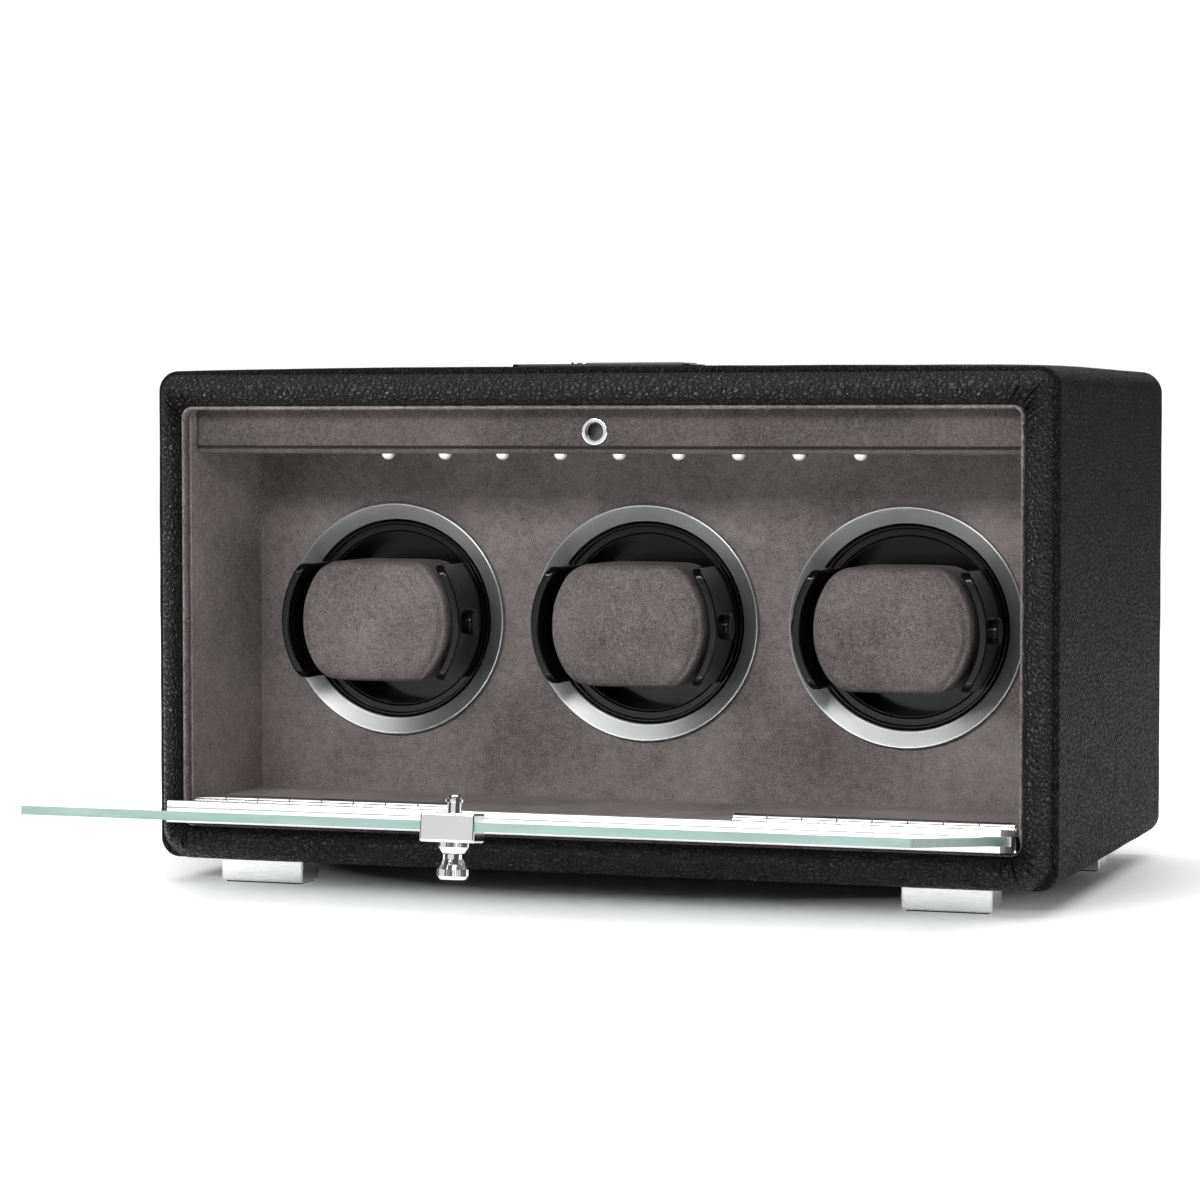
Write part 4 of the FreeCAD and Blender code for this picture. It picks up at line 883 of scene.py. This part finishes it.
def fill_cushion(made):
    """The cushion blown up by cloth simulation, each point held to a small travel."""
    remesh = made.modifiers.new("even", "REMESH")
    remesh.mode = "VOXEL"
    remesh.voxel_size = CUSHION_VOXEL
    apply_modifiers(made)
    start = [vertex.co.copy() for vertex in made.data.vertices]
    cloth = made.modifiers.new("fill", "CLOTH")
    settings = cloth.settings
    settings.use_pressure = True
    settings.uniform_pressure_force = 4.0
    settings.effector_weights.gravity = 0.0
    settings.tension_stiffness = 12.0
    settings.bending_stiffness = 0.4
    settings.quality = 6
    cloth.point_cache.frame_start = 1
    cloth.point_cache.frame_end = FILL_FRAMES
    for number in range(1, FILL_FRAMES + 1):
        bpy.context.scene.frame_set(number)
    apply_modifiers(made)
    bpy.context.scene.frame_set(1)
    for vertex, before in zip(made.data.vertices, start):
        travel = vertex.co - before
        if travel.length > CUSHION_SWELL:
            vertex.co = before + travel.normalized() * CUSHION_SWELL


def sew_cushion(made, centre, front_end):
    """The sunken end seams on a cushion's front, and the uneven cloth round them."""
    for vertex in made.data.vertices:
        point = vertex.co
        if point.y >= front_end:
            continue
        x = point.x - centre.x
        away = math.hypot(x, point.z - centre.z) - SEAM_RADIUS
        seam = math.exp(-((away / SEAM_SPREAD) ** 2)) if abs(x) > SEAM_STARTS else 0.0
        point.y += SEAM_SINK * seam + CLOTH_UNEVENNESS * ripple(point, 170, 6.0)


def cushions():
    """Three filled suede cushions, simulated once and set in the three rotors."""
    low, high, centre = place("cushion_2")
    points, faces = cushion_form(low, high, centre)
    first = piece("cushion_2_suede", points, faces, "cushion_suede", "cushion_2",
                  "cushion_2")
    fill_cushion(first)
    finer = first.modifiers.new("finer", "SUBSURF")
    finer.levels = 1
    finer.render_levels = 1
    apply_modifiers(first)
    sew_cushion(first, centre, low.y + CUSHION_FRONT)
    for polygon in first.data.polygons:
        polygon.use_smooth = True
    for number in (1, 3):
        _, _, other = place(f"cushion_{number}")
        mesh = first.data.copy()
        for vertex in mesh.vertices:
            vertex.co.x += other.x - centre.x
        made = bpy.data.objects.new(f"cushion_{number}_suede", mesh)
        bpy.context.scene.collection.objects.link(made)
        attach(made, f"cushion_{number}")
        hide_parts(f"cushion_{number}")


# ---- carried-over nodes ----------------------------------------------------------------------
# The side walls and the floor take the taupe suede painted lighter, as painted light.
NODE_LOOKS = {"side_linings": "wall_suede_painted_lighter", "floor_lining": "floor_suede_painted_lighter"}
WRAP_REACH = 2.5 * MM                   # of the leather over the carcass's front edge
FLOOR_UNDER = 40 * MM                   # the carcass's floor lies under this height
BORE_RADIUS = 3.6 * MM
RIM_DEPTH = 1.2 * MM                    # of the lock socket's polished rim


def dress_nodes():
    """Each CAD node that stays gets the material of its slot."""
    for row in frame["record"]["subparts"]:
        node = NODES[row["node"]]
        node.data.materials.clear()
        look = NODE_LOOKS.get(row["node"], row["material_slot"])
        node.data.materials.append(MATERIALS[look])
    wrap_front_edge(NODES["case_shell"])
    darken_bore(NODES["lock_socket"])


def wrap_front_edge(node):
    """The carcass's front edge, seen under the door, is wrapped in leather that covers its floor."""
    low, _, _ = place("case_shell")
    node.data.materials.append(MATERIALS["side_leather"])
    for polygon in node.data.polygons:
        on_floor = polygon.normal.z > 0.9 and polygon.center.z < FLOOR_UNDER
        if on_floor or polygon.center.y < low.y + WRAP_REACH:
            polygon.material_index = 1


def darken_bore(node):
    """The lock socket's bore gets dull dark metal as painted shade, while its rim is polished."""
    low, _, middle = place("lock_socket")
    node.data.materials.append(MATERIALS["bore_painted_shade"])
    for polygon in node.data.polygons:
        away = Vector((polygon.center.x - middle.x, 0, polygon.center.z - middle.z))
        inward = away.dot(polygon.normal) < 0
        if away.length < BORE_RADIUS and (inward or polygon.center.y > low.y + RIM_DEPTH):
            polygon.material_index = 1


def smooth_nodes():
    """Round faces shade smoothly, and flat ones stay flat."""
    for node in NODES.values():
        for polygon in node.data.polygons:
            polygon.use_smooth = True
        node.data.set_sharp_from_angle(angle=SHARP_ANGLE)


# ---- floor, lights and camera ----------------------------------------------------------------
FLOOR_SIZE = 3.6
GLOW_SHAPE = (2.7, 4.4, 1)              # how fast the glow grows along each axis
BACKDROP_WHITE = 1.05
SURROUND_GLOW = 0.08
CAMERA_PLACE = (0.4249, -1.4475, 0.1703)     # its y is from the box's rear face
CAMERA_DIP = 2.685
CAMERA_TURN = 18.717
CAMERA_LENS = 109.0


def floor():
    """A wide pale floor with painted light: it glows a little clear of the box, and again towards its
    far edges.
    """
    bpy.ops.mesh.primitive_plane_add(size=FLOOR_SIZE, location=(0, 0, 0))
    made = bpy.context.active_object
    made.name = "floor"
    look = Look("floor_with_painted_glow", roughness=0.6)
    look.shader.inputs["Specular IOR Level"].default_value = 0.2
    look.shader.inputs["Emission Color"].default_value = (1, 1, 1, 1)
    _, _, middle = place("case_shell")
    about = look.add("ShaderNodeVectorMath", {0: look.coordinates.outputs["Object"]},
                     operation="SUBTRACT")
    about.inputs[1].default_value = (middle.x, middle.y, 0)
    shaped = look.add("ShaderNodeVectorMath", {0: about.outputs[0]}, operation="MULTIPLY")
    shaped.inputs[1].default_value = GLOW_SHAPE
    reach = look.add("ShaderNodeVectorMath", {0: shaped.outputs[0]}, operation="LENGTH")
    # Painted light: no glow near the box, rising away from it, and more again towards the far edges.
    near = look.span(reach.outputs["Value"], 0.38, 0.80, 0.0, 0.5)
    far = look.span(reach.outputs["Value"], 4.5, 7.0, 0.0, 0.4)
    look.feed("Emission Strength", look.sum(near, far))
    cloud = look.noise(2.0, 2.0)
    look.feed("Base Color", look.colours(cloud, (0.3, (0.90, 0.90, 0.905)),
                                         (0.7, (0.93, 0.93, 0.93))))
    made.data.materials.append(look.material)


def area_light(name, spot, target, size, watts):
    """A white rectangle of light that faces a target and isn't seen itself."""
    data = bpy.data.lights.new(name, "AREA")
    data.shape = "RECTANGLE"
    data.size = size[0]
    data.size_y = size[1]
    data.energy = watts
    made = bpy.data.objects.new(name, data)
    made.location = spot
    made.rotation_mode = "QUATERNION"
    made.rotation_quaternion = (Vector(target) - Vector(spot)).to_track_quat("-Z", "Y")
    made.visible_camera = False
    bpy.context.scene.collection.objects.link(made)


def lights():
    """A wide soft box overhead, a high one in front, a low card, one behind, a pale surround."""
    area_light("overhead", (0.0, 0.0, 2.2), (0, 0, 0), (3.0, 3.0), 52)
    area_light("front", (-0.15, -1.6, 0.77), (0, 0, 0.08), (1.3, 0.36), 32)
    area_light("card", (-0.3, -2.4, 0.33), (0, 0, 0.1), (3.2, 0.6), 4.4)
    area_light("behind", (0.0, 2.1, 1.2), (0, 0, 0.1), (2.0, 0.8), 10)
    surround()


def surround():
    """White behind the object, and a faint even glow from all round it."""
    world = bpy.data.worlds.new("surround")
    bpy.context.scene.world = world
    world.use_nodes = True
    tree = world.node_tree
    tree.nodes.clear()
    output = tree.nodes.new("ShaderNodeOutputWorld")
    path = tree.nodes.new("ShaderNodeLightPath")
    mix = tree.nodes.new("ShaderNodeMixShader")
    tree.links.new(path.outputs["Is Camera Ray"], mix.inputs["Fac"])
    for socket, strength in ((1, SURROUND_GLOW), (2, BACKDROP_WHITE)):
        backdrop = tree.nodes.new("ShaderNodeBackground")
        backdrop.inputs["Strength"].default_value = strength
        backdrop.inputs["Color"].default_value = (1, 1, 1, 1)
        tree.links.new(backdrop.outputs[0], mix.inputs[socket])
    tree.links.new(mix.outputs[0], output.inputs["Surface"])


def camera():
    """A long lens in front of the box's right side, a little under its top, dipped and turned left."""
    data = bpy.data.cameras.new("camera")
    data.sensor_width = 36.0
    data.lens = CAMERA_LENS
    made = bpy.data.objects.new("camera", data)
    made.location = Vector(CAMERA_PLACE) + Vector((0, CAD_BOX[1].y, 0))
    made.rotation_euler = (math.radians(90 - CAMERA_DIP), 0, math.radians(CAMERA_TURN))
    bpy.context.scene.collection.objects.link(made)
    bpy.context.scene.camera = made


# ---- the scene -------------------------------------------------------------------------------
MATERIALS = make_materials()
dress_nodes()
smooth_nodes()
front_bezel()
leather_covering()
header()
opening_trim()
rings()
cushions()
floor()
lights()
camera()
bpy.context.scene.view_settings.view_transform = "Standard"
